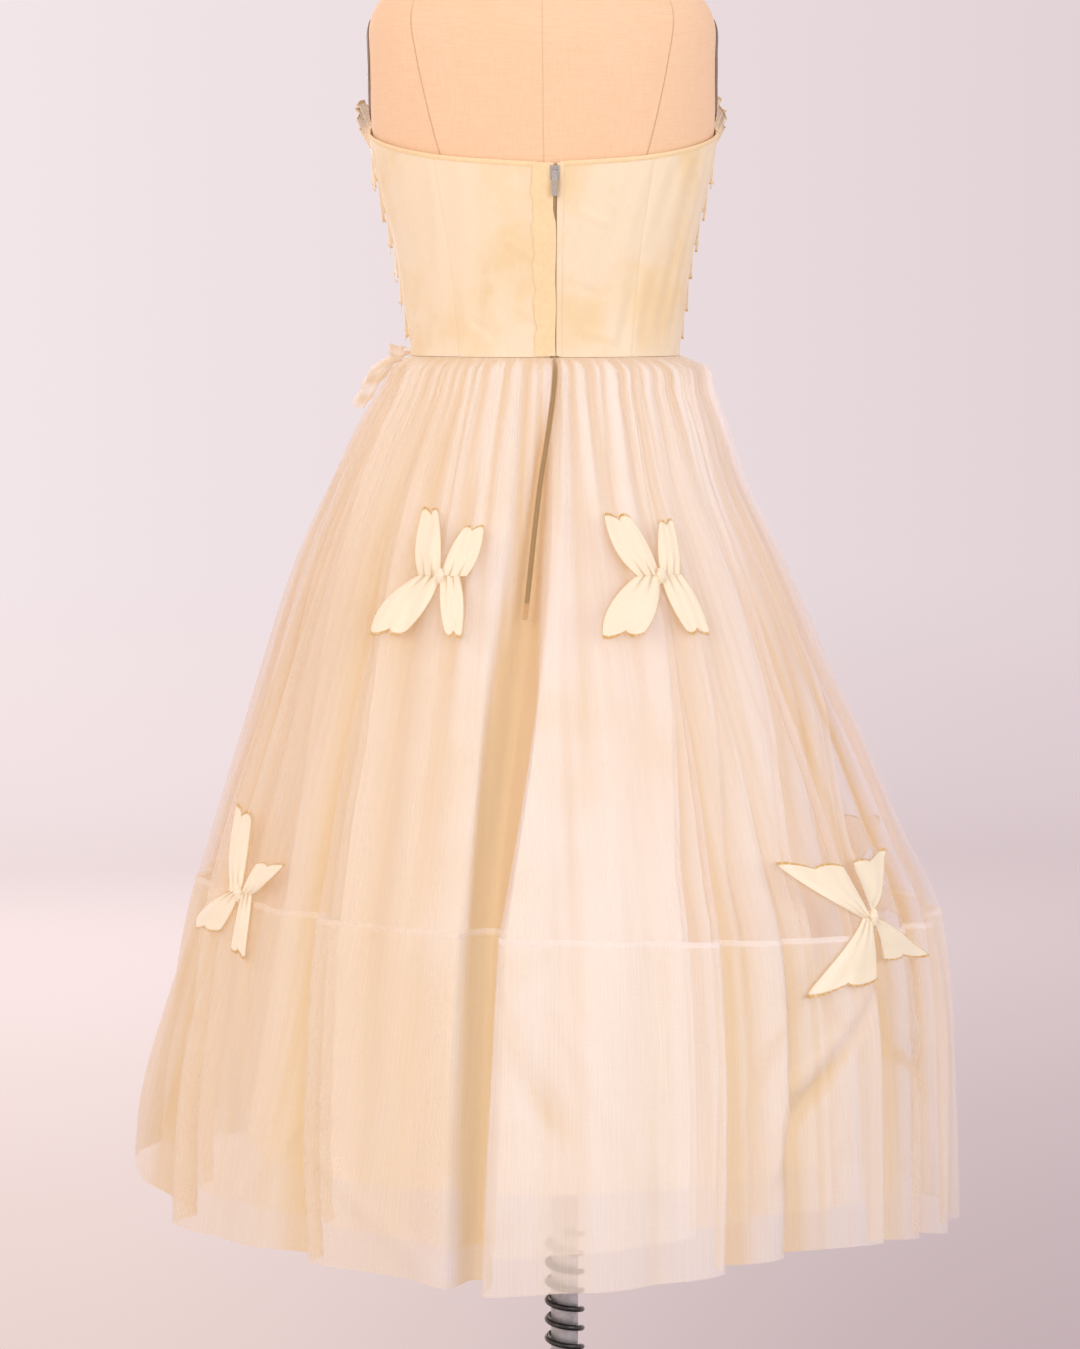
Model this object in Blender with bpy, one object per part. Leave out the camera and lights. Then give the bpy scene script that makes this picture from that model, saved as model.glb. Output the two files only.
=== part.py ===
"""A strapless, gathered organza cocktail dress on a limbless dress form. Metres, +Z up.

The origin is on the floor, on the pole's axis. The wearer's front faces -Y and the wearer's left is +X.
Angles round the garment are in degrees from the centre back (+Y), positive towards the wearer's left, so
the side seams are at 90 and -90 and the centre front is at 180.
"""

import math

import bmesh
import bpy
from mathutils import Matrix, Vector

MM = 0.001
SEAM_GAP = 0.3 * MM

# Heights above the floor
WAIST = 1.064
NECK_TOP = 1.505
TORSO_BOTTOM = 0.824
BAND_SEAM = 0.575
HEM = 0.290
LINING_HEM = 0.345
ZIP_TOP = 1.2335
ZIP_END = 0.838
SEAM_TILT = 0.016
BODICE_TOP = 1.290

# The torso leans a little to the wearer's left, so its middle stands beside the pole's axis
TORSO_MIDDLE = 0.018
TORSO_LEAN = 0.009

# Walls
LINING_IN, LINING_OUT = 0.8 * MM, 1.9 * MM
BODICE_IN, BODICE_OUT = 1.4 * MM, 3.2 * MM
SKIRT_WALL = 1.6 * MM
SKIRT_TOP_OUT = 3.9 * MM
FRILL_WALL = 1.0 * MM
BOW_WALL = 1.5 * MM

# The dress form's sections: height, half width, depth to the front, depth to the back
TORSO = (
    (0.824, 0.150, 0.104, 0.106),
    (0.850, 0.162, 0.114, 0.119),
    (0.900, 0.162, 0.114, 0.121),
    (0.960, 0.149, 0.106, 0.110),
    (1.020, 0.128, 0.093, 0.092),
    (1.064, 0.119, 0.088, 0.086),
    (1.110, 0.124, 0.092, 0.087),
    (1.165, 0.133, 0.103, 0.092),
    (1.205, 0.143, 0.113, 0.095),
    (1.246, 0.152, 0.118, 0.097),
    (1.290, 0.156, 0.112, 0.098),
    (1.335, 0.157, 0.096, 0.097),
    (1.365, 0.155, 0.080, 0.091),
    (1.387, 0.143, 0.067, 0.079),
    (1.405, 0.118, 0.058, 0.067),
    (1.424, 0.088, 0.052, 0.058),
    (1.446, 0.064, 0.050, 0.053),
    (1.475, 0.055, 0.048, 0.050),
    (1.505, 0.053, 0.047, 0.049),
)
TORSO_SIDES = 40
BODICE_RINGS = 9
# The oval plate over each arm's opening, and the neck cap's heights with its share of the neck's size
ARM_PLATE = {"middle": 1.3205, "half_height": 0.047, "half_angle": 24.0, "inner": 1.1 * MM, "outer": 3.0 * MM}
NECK_CAP_LEVELS = ((NECK_TOP + SEAM_GAP, 1.02), (NECK_TOP + 0.006, 1.04), (NECK_TOP + 0.011, 0.9))
BUST = {"angle": 143.0, "height": 1.222, "half_angle": 38.0, "half_height": 0.088, "proud": 0.011}

# The gathered skirt's outline over its fold crests: height, to the left, right, back and front
SKIRT = (
    (1.054, 0.138, 0.146, 0.104, 0.106),
    (1.032, 0.150, 0.153, 0.117, 0.119),
    (1.003, 0.168, 0.165, 0.138, 0.138),
    (0.950, 0.196, 0.184, 0.169, 0.164),
    (0.896, 0.221, 0.211, 0.195, 0.188),
    (0.841, 0.241, 0.237, 0.220, 0.210),
    (0.786, 0.259, 0.261, 0.246, 0.234),
    (0.732, 0.277, 0.288, 0.271, 0.257),
    (0.678, 0.295, 0.312, 0.294, 0.279),
    (0.623, 0.312, 0.336, 0.314, 0.298),
    (0.568, 0.328, 0.362, 0.333, 0.316),
    (0.478, 0.351, 0.377, 0.353, 0.336),
    (0.387, 0.373, 0.381, 0.368, 0.351),
    (0.260, 0.390, 0.384, 0.382, 0.364),
)
# How far the folds and the gathers stand out of the skirt: height, folds, gathers, centre-back trough
RELIEF = (
    (1.064, 0.000, 0.0000, 0.000),
    (1.054, 0.001, 0.0030, 0.001),
    (1.032, 0.003, 0.0050, 0.002),
    (1.000, 0.006, 0.0060, 0.003),
    (0.930, 0.010, 0.0050, 0.006),
    (0.830, 0.014, 0.0035, 0.012),
    (0.700, 0.018, 0.0010, 0.020),
    (0.575, 0.022, 0.0000, 0.028),
    (0.260, 0.027, 0.0000, 0.034),
)
# Each fold's crest: its angle at the waist, at the band's seam and at the hem, half width, height
FOLDS = (
    (84.0, 80.0, 77.0, 12.0, 0.90),
    (62.0, 56.0, 51.0, 12.0, 1.00),
    (38.0, 33.0, 31.0, 8.0, 0.90),
    (25.0, 23.0, 21.5, 7.0, 0.70),
    (12.5, 15.5, 14.5, 6.5, 1.00),
    (-10.0, 2.0, 3.0, 8.0, 1.00),
    (-18.0, -11.0, -9.0, 8.0, 0.65),
    (-27.0, -21.5, -20.0, 7.5, 0.90),
    (-38.0, -34.0, -33.0, 6.5, 0.75),
    (-50.0, -46.0, -46.5, 10.0, 1.00),
    (-61.0, -58.0, -57.0, 7.0, 0.70),
    (-73.0, -70.0, -70.0, 9.0, 0.95),
    (-88.0, -87.0, -87.0, 9.0, 0.85),
    (99.0, 100.0, 101.0, 11.0, 0.80),
    (114.0, 116.0, 117.0, 8.0, 0.95),
    (128.0, 129.0, 131.0, 8.0, 0.70),
    (141.0, 142.0, 143.0, 9.0, 1.00),
    (155.0, 156.0, 156.0, 8.0, 0.80),
    (168.0, 169.0, 170.0, 7.5, 0.95),
    (180.0, 181.5, 183.0, 8.0, 0.75),
    (193.0, 195.0, 196.0, 8.0, 1.00),
    (205.0, 208.0, 209.0, 7.5, 0.70),
    (218.0, 221.0, 222.0, 9.0, 0.95),
    (232.0, 235.0, 236.0, 8.0, 0.80),
    (246.0, 248.0, 249.0, 8.5, 0.95),
    (258.0, 260.0, 261.0, 7.5, 0.75),
)
# The hem's lower edge, which hangs unevenly: angle, height
HEM_EDGE = (
    (-100.0, 0.274),
    (-90.0, 0.274),
    (-60.0, 0.290),
    (-40.0, 0.300),
    (-26.0, 0.296),
    (-10.0, 0.284),
    (8.0, 0.280),
    (22.0, 0.293),
    (38.0, 0.301),
    (56.0, 0.307),
    (72.0, 0.322),
    (90.0, 0.346),
    (128.0, 0.310),
    (180.0, 0.286),
    (230.0, 0.280),
    (270.0, 0.274),
)
# The centre-back seam wanders to the wearer's left as it goes down: height, angle
BACK_SEAM = (
    (1.240, -3.4),
    (1.064, -3.7),
    (0.951, 1.5),
    (0.850, 4.2),
    (0.786, 5.8),
    (0.577, 9.5),
    (0.260, 9.2),
)
TROUGH_HALF = 5.0
ZIP_HALF_WIDTH = 2.75 * MM
ZIP_FORK = 0.02
GATHERS_IN_QUARTER = 12
GATHER_PROFILE = (0.0, 1.0, 0.45)
GATHER_WOBBLE, GATHER_UNEVEN = 0.28, 0.28
SKIRT_ROWS = (0.0, 0.025, 0.08, 0.21, 0.42, 1.0)
ZIP_SKIRT_ROWS = 5
BAND_COLUMNS, BAND_ROWS = 30, 2

# The lining's outline: height, to the left, right, back and front
LINING = (
    (1.040, 0.130, 0.130, 0.0945, 0.0965),
    (0.950, 0.168, 0.158, 0.137, 0.136),
    (0.864, 0.190, 0.186, 0.168, 0.164),
    (0.780, 0.206, 0.206, 0.192, 0.184),
    (0.607, 0.232, 0.232, 0.226, 0.214),
    (0.345, 0.276, 0.276, 0.268, 0.256),
)
LINING_COLUMNS = 12
LINING_ROWS = (0.0, 0.045, 0.13, 0.28, 0.60, 1.0)
LINING_WAVES, LINING_WAVE, LINING_WAVE_DROP = 3, 0.007, 0.3

# The bodice's top edge: angle either way from the centre back, height
TOP_EDGE = ((0.0, 1.2350), (40.0, 1.2430), (90.0, 1.2650), (135.0, 1.2860), (180.0, 1.2740))
PRINCESS_SEAM = 40.0
BODICE_ROWS = 9

# Frills on the bodice front, from the top: drop of the root below the top edge, height, flare, waves
FRILLS = (
    (0.016, 0.034, 0.0125, 12),
    (0.022, -0.030, 0.0045, 13),
    (0.050, -0.030, 0.0040, 12),
    (0.079, -0.029, 0.0035, 13),
    (0.107, -0.028, 0.0025, 12),
    (0.134, -0.027, 0.0020, 12),
    (0.160, -0.026, 0.0015, 12),
)
FRILL_WAVE, FRILL_FRONT_WAVE, FRILL_FRONT_HALF = 3.0 * MM, 4.0 * MM, 85.0
FRILL_ROOT_OUT = 0.7 * MM
FRILL_START, FRILL_END = 91.5, 264.0

# Four-winged bows: name, angle, height, how far it is pressed into the folds in millimetres, and each
# wing's tip as across and up, from the upper left round
BOWS = (
    ("hip_back_left", 23.5, 0.876, 4.6, ((0.034, 0.056), (-0.034, 0.042), (-0.024, -0.050), (0.058, -0.050))),
    ("hip_back_right", -27.2, 0.876, 0.6, ((0.045, 0.052), (-0.028, 0.046), (-0.036, -0.050), (0.058, -0.050))),
    ("low_back_left", 57.8, 0.595, 0.8, ((0.048, 0.072), (-0.058, 0.030), (-0.030, -0.052), (0.078, -0.038))),
    ("low_back_right", -52.4, 0.578, 0.0, ((0.090, 0.052), (-0.082, 0.050), (-0.090, -0.044), (0.086, -0.060))),
    ("hip_front_left", 153.0, 0.876, 2.7, ((0.034, 0.052), (-0.036, 0.044), (-0.030, -0.050), (0.054, -0.048))),
    ("hip_front_right", 207.0, 0.876, 2.3, ((0.036, 0.046), (-0.034, 0.052), (-0.052, -0.050), (0.030, -0.050))),
    ("low_front_left", 125.0, 0.590, 0.0, ((0.080, 0.052), (-0.084, 0.048), (-0.082, -0.046), (0.086, -0.056))),
    ("low_front_right", 235.0, 0.580, 1.5, ((0.086, 0.050), (-0.080, 0.054), (-0.086, -0.052), (0.080, -0.048))),
)
# One wing, from the side notch round its tip to the upper notch: shares of the tip's across and up
WING_OUTLINE = ((0.64, 0.50), (1.0, 1.0), (0.70, 0.92), (0.36, 0.99), (0.15, 0.60))
SIDE_NOTCH, UPPER_NOTCH = 0.16, 0.20
BOW_RINGS = 2
BOW_CLEARANCE = 0.2 * MM
BOW_SLOPE, BOW_REACH, BOW_REACH_SHARE = 0.125, 0.006, 0.25
KNOT = (0.0085, 0.0100, 0.0050)
KNOT_SETTLE = 0.9

# The organza bow at the wearer's left front of the waist
WAIST_BOW_ANGLE, WAIST_BOW_HEIGHT, WAIST_BOW_SLANT = 108.0, 1.060, 0.22
WAIST_BOW_CLEARANCE = 1.8 * MM
WAIST_LOOP = {"start": 0.010, "length": 0.058, "rise": 0.024, "part": 0.16, "fall": 0.8, "narrow": 0.009,
              "wide": 0.028}

# Zip slider and pull tab
TAPE_BELOW, TAPE_WALL = 0.5 * MM, 1.1 * MM
SLIDER = (0.0086, 0.0016, 0.0120)
SLIDER_LIFT = 0.2 * MM
EAR, EAR_INSET, EAR_SINK = (0.9 * MM, 3.0 * MM, 2.0 * MM), 0.3 * MM, 0.95 * MM
BAR_DROP, BAR_LIFT = 3.0 * MM, 1.9 * MM
BAR_RADIUS, EYE_RADIUS, EYE_WALL = 0.5 * MM, 0.85 * MM, 0.55 * MM
BAR_LENGTH = 4.6 * MM
EYE_LENGTH = 2.8 * MM
TAB = (0.0052, 0.0011, 0.0215)
TAB_NECK, TAB_OVERLAP = 0.0026, 0.7

# Stand
POLE_RADIUS = 0.0125
POLE_FOOT = 0.012
SPRING_RADIUS, SPRING_WIRE, SPRING_PITCH = 0.0158, 0.0022, 0.0176
SPRING_TURNS, SPRING_STEPS = 9, 8
COLLAR_RADIUS, COLLAR_BOTTOM, COLLAR_TOP = 0.024, 0.058, 0.098
BASE_PROFILE = ((0.0, 0.0), (0.190, 0.0), (0.190, 0.006), (0.182, 0.012), (0.060, 0.020), (0.030, 0.036),
                (0.026, 0.0577), (0.0128, 0.0577), (0.0128, 0.0117), (0.0, 0.0117))
BOARD_THICK = 0.014


def between(rows, at):
    """The row's other columns at this height or angle, on a smooth curve through the rows."""
    rows = sorted(rows)
    at = min(max(at, rows[0][0]), rows[-1][0])
    last = next(i for i in range(1, len(rows)) if at <= rows[i][0])
    before, start, end, after = (rows[min(max(i, 0), len(rows) - 1)] for i in range(last - 2, last + 2))
    span = end[0] - start[0]
    t = (at - start[0]) / span
    found = []
    for column in range(1, len(start)):
        slope_in = (end[column] - before[column]) / (end[0] - before[0]) * span
        slope_out = (after[column] - start[column]) / (after[0] - start[0]) * span
        rise = end[column] - start[column]
        found.append(
            start[column]
            + slope_in * t
            + (3 * rise - 2 * slope_in - slope_out) * t**2
            + (slope_in + slope_out - 2 * rise) * t**3
        )
    return found


def hump(offset, half_width):
    """1 in the middle of a fold, falling smoothly to 0 at its half width."""
    return 0.5 + 0.5 * math.cos(math.pi * offset / half_width) if abs(offset) < half_width else 0.0


def turn_between(a, b):
    """The shortest turn in degrees from angle b to angle a."""
    return (a - b + 180.0) % 360.0 - 180.0


def oval(angle, left, right, back, front, out=0.0, middle=TORSO_MIDDLE):
    """A point of a section with four half sizes, moved out along the section's own normal."""
    sine, cosine = math.sin(math.radians(angle)), math.cos(math.radians(angle))
    across = left if sine > 0 else right
    deep = back if cosine > 0 else front
    normal = Vector((deep * sine, across * cosine)).normalized()
    return Vector((middle + across * sine, deep * cosine)) + normal * out


def torso_point(angle, height, out=0.0):
    half, front, back = between(TORSO, height)
    aside = hump(abs(turn_between(angle, 180.0)) - (180.0 - BUST["angle"]), BUST["half_angle"])
    bust = BUST["proud"] * aside * hump(height - BUST["height"], BUST["half_height"])
    middle = TORSO_MIDDLE + TORSO_LEAN * max(height - WAIST, 0.0)
    flat = oval(angle, half, half, back, front, out + bust, middle)
    return Vector((flat.x, flat.y, height))


def crest_angle(fold, height):
    """A fold's angle at this height: its three angles joined by straight lines."""
    waist, seam, hem = fold[:3]
    if height > BAND_SEAM:
        return waist + (seam - waist) * (WAIST - height) / (WAIST - BAND_SEAM)
    return seam + (hem - seam) * (BAND_SEAM - height) / (BAND_SEAM - HEM)


def skirt_level(angle, height, gather=0.0):
    """The skirt's outer point, with its folds, its trough at the centre back and this share of a gather."""
    waist_row = (WAIST,) + tuple(size + SKIRT_TOP_OUT for size in torso_sizes(WAIST))
    left, right, back, front = between(SKIRT + (waist_row,), height)
    fold_depth, gather_depth, trough_depth = between(RELIEF, height)
    crest = max(fold[4] * hump(turn_between(angle, crest_angle(fold, height)), fold[3]) for fold in FOLDS)
    trough = hump(turn_between(angle, back_seam(height)), TROUGH_HALF)
    out = fold_depth * (crest - 1.0) + gather_depth * (gather - 1.0) - trough_depth * trough
    return oval(angle, left, right, back, front, out)


def torso_sizes(height):
    half, front, back = between(TORSO, height)
    return half, half, back, front


def back_seam(height):
    return between(BACK_SEAM, height)[0]


def skirt_point(angle, height, inward, gather=0.0, at_seam=False):
    """A point of the skirt's wall, moved in along the folds' normal, or the plain section's at a seam."""
    here = skirt_level(angle, height, gather)
    if at_seam:
        sizes = skirt_sizes(height)
        normal = oval(angle, *sizes, 1.0) - oval(angle, *sizes)
    else:
        step = 0.4
        tangent = skirt_level(angle + step, height, gather) - skirt_level(angle - step, height, gather)
        normal = Vector((-tangent.y, tangent.x)).normalized()
    flat = here - normal * inward
    return Vector((flat.x, flat.y, height))


def seam_height(angle):
    return BAND_SEAM + SEAM_TILT * math.sin(math.radians(angle))


def hem_height(angle):
    return between(HEM_EDGE, (angle + 90.0) % 360.0 - 90.0)[0]


def shifted(angle, height, distance, sizes):
    """An angle moved by a distance along the section, for the gap at a seam."""
    left, right, back, front = sizes
    across = left if math.sin(math.radians(angle)) > 0 else right
    deep = back if math.cos(math.radians(angle)) > 0 else front
    along = math.hypot(across * math.cos(math.radians(angle)), deep * math.sin(math.radians(angle)))
    return angle + math.degrees(distance / along)


def material(name, color, roughness=0.6, metallic=0.0, alpha=1.0):
    made = bpy.data.materials.get(name)
    if made is None:
        made = bpy.data.materials.new(name)
        made.use_nodes = True
        shader = made.node_tree.nodes["Principled BSDF"]
        shader.inputs["Base Color"].default_value = (*color, 1.0)
        shader.inputs["Roughness"].default_value = roughness
        shader.inputs["Metallic"].default_value = metallic
        shader.inputs["Alpha"].default_value = alpha
        made.diffuse_color = (*color, alpha)
    return made


def add(name, bm, finish, smooth=True):
    """Makes the mesh an object with its own material, its faces pointing out."""
    bmesh.ops.recalc_face_normals(bm, faces=bm.faces)
    mesh = bpy.data.meshes.new(name)
    bm.to_mesh(mesh)
    bm.free()
    if smooth:
        mesh.shade_smooth()
        mesh.set_sharp_from_angle(angle=math.radians(50))
    made = bpy.data.objects.new(name, mesh)
    made.data.materials.append(finish)
    bpy.context.scene.collection.objects.link(made)
    return made


def thicken(bm, inner, outer, place):
    """Extrudes a flat sheet of (across, along) once, then places both its skins: place(u, v, depth)."""
    skin = bmesh.ops.extrude_face_region(bm, geom=bm.faces[:], use_keep_orig=True)
    raised = {item for item in skin["geom"] if isinstance(item, bmesh.types.BMVert)}
    for vert in bm.verts:
        vert.co = place(vert.co.x, vert.co.y, outer if vert in raised else inner)


def cloth(name, columns, rows, inner, outer, place, finish):
    """A closed cloth wall: a grid whose points go where place(u, v, depth) says."""
    bm = bmesh.new()
    bmesh.ops.create_grid(bm, x_segments=columns, y_segments=rows, size=0.5)
    bmesh.ops.translate(bm, vec=(0.5, 0.5, 0.0), verts=bm.verts)
    thicken(bm, inner, outer, place)
    return add(name, bm, finish)


def disc(sides, rings):
    """A flat disc of radius 1, in triangles round its middle and then in rings."""
    bm = bmesh.new()
    bmesh.ops.create_circle(bm, cap_ends=True, cap_tris=True, segments=sides, radius=1.0 / rings)
    for ring in range(1, rings):
        rim = [edge for edge in bm.edges if edge.is_boundary]
        grown = bmesh.ops.extrude_edge_only(bm, edges=rim)
        for item in grown["geom"]:
            if isinstance(item, bmesh.types.BMVert):
                item.co *= (ring + 1) / ring
    return bm


def lofted(name, sides, levels, place, finish):
    """A closed body: a capped circle pushed up level by level, each point put by place(angle, level)."""
    bm = bmesh.new()
    bmesh.ops.create_circle(bm, cap_ends=True, segments=sides, radius=1.0)
    top = next(iter(bm.faces))
    for level in range(1, levels + 1):
        pushed = bmesh.ops.extrude_face_region(bm, geom=[top, *top.edges])
        top = next(item for item in pushed["geom"] if isinstance(item, bmesh.types.BMFace))
        for vert in top.verts:
            vert.co.z = level
    for vert in bm.verts:
        vert.co = place(math.degrees(math.atan2(vert.co.x, vert.co.y)), round(vert.co.z))
    return add(name, bm, finish)


def turned(name, profile, sides, finish, base=Vector((0.0, 0.0, 0.0))):
    """A body of revolution about +Z from (radius, height) pairs, spun and closed at its axis."""
    bm = bmesh.new()
    corners = [bm.verts.new((radius, 0.0, height)) for radius, height in profile]
    edges = [bm.edges.new(pair) for pair in zip(corners, corners[1:])]
    if profile[0][0] > 0:
        edges.append(bm.edges.new((corners[-1], corners[0])))
    bmesh.ops.spin(bm, geom=corners + edges, cent=(0, 0, 0), axis=(0, 0, 1), angle=math.tau, steps=sides,
                   use_merge=True)
    bmesh.ops.remove_doubles(bm, verts=bm.verts, dist=1e-6)
    bmesh.ops.translate(bm, vec=base, verts=bm.verts)
    return add(name, bm, finish)


def make_form():
    linen = material("form_linen", (0.93, 0.62, 0.36), 0.9)
    step = (BODICE_TOP - WAIST) / BODICE_RINGS
    heights = sorted(
        [row[0] for row in TORSO if not WAIST < row[0] < BODICE_TOP + step / 2]
        + [WAIST + step * ring for ring in range(1, BODICE_RINGS + 1)]
    )
    lofted("form_torso", TORSO_SIDES, len(heights) - 1,
           lambda angle, level: torso_point(angle, heights[level]), linen)

    def cap_point(angle, level):
        height, share = NECK_CAP_LEVELS[level]
        rim = torso_point(angle, NECK_TOP)
        neck_middle = (torso_point(90.0, NECK_TOP).x + torso_point(-90.0, NECK_TOP).x) / 2
        return Vector((neck_middle + (rim.x - neck_middle) * share, rim.y * share, height))

    cap_linen = material("form_cap", (0.80, 0.50, 0.28), 0.8)
    lofted("form_neck_cap", 24, len(NECK_CAP_LEVELS) - 1, cap_point, cap_linen)

    metal = material("form_plate", (0.45, 0.36, 0.29), 0.35, 0.9)
    for side, name in ((90.0, "form_arm_plate_left"), (-90.0, "form_arm_plate_right")):

        def plate_point(u, v, out, side=side):
            angle = side + ARM_PLATE["half_angle"] * u
            return torso_point(angle, ARM_PLATE["middle"] + ARM_PLATE["half_height"] * v, out)

        bm = disc(20, 3)
        thicken(bm, ARM_PLATE["inner"], ARM_PLATE["outer"], plate_point)
        add(name, bm, metal)

    def board_point(angle, level):
        rim = torso_point(angle, TORSO_BOTTOM)
        height = TORSO_BOTTOM - SEAM_GAP - BOARD_THICK * (1 - level)
        return Vector((rim.x, rim.y, height))

    board = lofted("form_bottom_board", 28, 1, board_point, material("form_board", (0.55, 0.36, 0.2), 0.6))
    bm = bmesh.new()
    bmesh.ops.create_cone(bm, cap_ends=True, segments=24, radius1=POLE_RADIUS + SEAM_GAP,
                          radius2=POLE_RADIUS + SEAM_GAP, depth=4 * BOARD_THICK)
    bmesh.ops.translate(bm, vec=(0, 0, TORSO_BOTTOM - BOARD_THICK), verts=bm.verts)
    cutter = add("board_hole", bm, board.data.materials[0])
    cutter.hide_render = True
    cutter.display_type = "WIRE"
    cut = board.modifiers.new("pole hole", "BOOLEAN")
    cut.operation = "DIFFERENCE"
    cut.solver = "EXACT"
    cut.object = cutter


def make_stand():
    grey = material("stand_pole", (0.42, 0.41, 0.40), 0.4, 0.8)
    black = material("stand_black", (0.012, 0.012, 0.013), 0.35, 0.3)
    turned("stand_base", BASE_PROFILE, 28, black)
    top = TORSO_BOTTOM - 2 * SEAM_GAP
    pole = ((0.0, POLE_FOOT), (POLE_RADIUS, POLE_FOOT), (POLE_RADIUS, top), (0.0, top))
    turned("stand_pole", pole, 24, grey)
    bore = POLE_RADIUS + SEAM_GAP
    collar = (
        (bore, COLLAR_BOTTOM),
        (COLLAR_RADIUS, COLLAR_BOTTOM),
        (COLLAR_RADIUS, COLLAR_TOP),
        (bore, COLLAR_TOP),
    )
    turned("stand_collar", collar, 20, black)

    coil = bpy.data.curves.new("stand_spring", "CURVE")
    coil.dimensions = "3D"
    coil.bevel_depth = SPRING_WIRE
    coil.bevel_resolution = 1
    coil.use_fill_caps = True
    spline = coil.splines.new("POLY")
    steps = SPRING_TURNS * SPRING_STEPS
    spline.points.add(steps)
    bottom = COLLAR_TOP + SPRING_WIRE + SEAM_GAP
    for step, point in enumerate(spline.points):
        turn = math.tau * step / SPRING_STEPS
        rise = bottom + SPRING_PITCH * step / SPRING_STEPS
        point.co = (SPRING_RADIUS * math.sin(turn), SPRING_RADIUS * math.cos(turn), rise, 1.0)
    spring = bpy.data.objects.new("stand_spring", coil)
    coil.materials.append(black)
    bpy.context.scene.collection.objects.link(spring)


def top_edge(angle):
    return between(TOP_EDGE, abs(turn_between(angle, 0.0)))[0]


def make_bodice():
    satin = material("bodice_satin", (0.93, 0.76, 0.55), 0.45)
    panels = (
        ("bodice_back_left", None, PRINCESS_SEAM, 6),
        ("bodice_side_left", PRINCESS_SEAM, 90.0, 7),
        ("bodice_front", 90.0, 270.0, 24),
        ("bodice_side_right", -90.0, -PRINCESS_SEAM, 7),
        ("bodice_back_right", -PRINCESS_SEAM, None, 5),
    )
    for name, start, end, columns in panels:

        def place(u, v, out, start=start, end=end):
            middle = back_seam(WAIST)
            low = shifted(middle, WAIST, ZIP_HALF_WIDTH, torso_sizes(WAIST)) if start is None else \
                shifted(start, WAIST, SEAM_GAP / 2, torso_sizes(WAIST))
            high = shifted(middle, WAIST, -ZIP_HALF_WIDTH, torso_sizes(WAIST)) if end is None else \
                shifted(end, WAIST, -SEAM_GAP / 2, torso_sizes(WAIST))
            angle = low + (high - low) * u
            height = WAIST + SEAM_GAP / 2 + (top_edge(angle) - WAIST) * v
            return torso_point(angle, height, out)

        cloth(name, columns, BODICE_ROWS, BODICE_IN, BODICE_OUT, place, satin)


def make_frills():
    organza = material("frill_organza", (0.95, 0.85, 0.72), 0.6)
    for number, (drop, height, flare, waves) in enumerate(FRILLS):

        def place(u, v, out, drop=drop, height=height, flare=flare, waves=waves):
            angle = FRILL_START + (FRILL_END - FRILL_START) * u
            size = FRILL_WAVE + FRILL_FRONT_WAVE * hump(turn_between(angle, 180.0), FRILL_FRONT_HALF)
            wave = size * (0.5 - 0.5 * math.cos(math.tau * waves * u))
            away = BODICE_OUT + FRILL_ROOT_OUT + (flare + wave) * v + out
            return torso_point(angle, top_edge(angle) - drop + height * v, away)

        cloth(f"frill_{number}", 3 * waves, 1, 0.0, FRILL_WALL, place, organza)


def make_skirt():
    organza = material("skirt_organza", (0.93, 0.78, 0.60), 0.6)
    doubled = material("band_organza", (0.94, 0.76, 0.55), 0.6)
    quarters = (("front", 90.0, 270.0, 2), ("back_left", None, 90.0, 1), ("back_right", -90.0, None, 1))

    def angles(start, end, height, sizes):
        """The panel's two edges at this height, with half the gap at a seam or half the zip's opening."""
        open_share = min(max((height - ZIP_END) / ZIP_FORK, 0.0), 1.0)
        opening = open_share * (ZIP_HALF_WIDTH - SEAM_GAP / 2) + SEAM_GAP / 2
        seam = back_seam(height)
        low = shifted(seam, height, opening, sizes) if start is None else \
            shifted(start, height, SEAM_GAP / 2, sizes)
        high = shifted(seam, height, -opening, sizes) if end is None else \
            shifted(end, height, -SEAM_GAP / 2, sizes)
        return low, high

    for side, start, end, quarter_count in quarters:
        gathers = GATHERS_IN_QUARTER * quarter_count

        def upper(u, v, inward, start=start, end=end, gathers=gathers):
            row = round(v * (len(SKIRT_ROWS) - 1))
            column = round(u * gathers * 3)
            at_seam = column in (0, gathers * 3)
            wobble = 0.0 if at_seam else GATHER_WOBBLE * math.sin(2.4 * (column // 3) + 0.7)
            share = u + wobble / (gathers * 3)
            low, high = angles(start, end, BAND_SEAM, skirt_sizes(BAND_SEAM))
            floor = seam_height(low + (high - low) * share) + SEAM_GAP / 2
            height = WAIST - SEAM_GAP / 2 + (floor - WAIST) * SKIRT_ROWS[row]
            low, high = angles(start, end, height, skirt_sizes(height))
            strength = 1.0 - GATHER_UNEVEN * (1.0 - math.sin(1.7 * (column // 3) + quarter_count))
            gather = GATHER_PROFILE[column % 3] * strength
            return skirt_point(low + (high - low) * share, height, inward, gather, at_seam)

        cloth(f"skirt_{side}", gathers * 3, len(SKIRT_ROWS) - 1, SKIRT_WALL, 0.0, upper, organza)

        def lower(u, v, inward, start=start, end=end):
            low, high = angles(start, end, BAND_SEAM, skirt_sizes(BAND_SEAM))
            angle = low + (high - low) * u
            top = seam_height(angle) - SEAM_GAP / 2
            height = top + (hem_height(angle) - top) * v
            low, high = angles(start, end, height, skirt_sizes(height))
            return skirt_point(low + (high - low) * u, height, inward, at_seam=abs(u - 0.5) > 0.499)

        cloth(f"band_{side}", BAND_COLUMNS * quarter_count, BAND_ROWS, SKIRT_WALL, 0.0, lower, doubled)


def skirt_sizes(height):
    waist_row = (WAIST,) + tuple(size + SKIRT_TOP_OUT for size in torso_sizes(WAIST))
    return between(SKIRT + (waist_row,), height)


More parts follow.
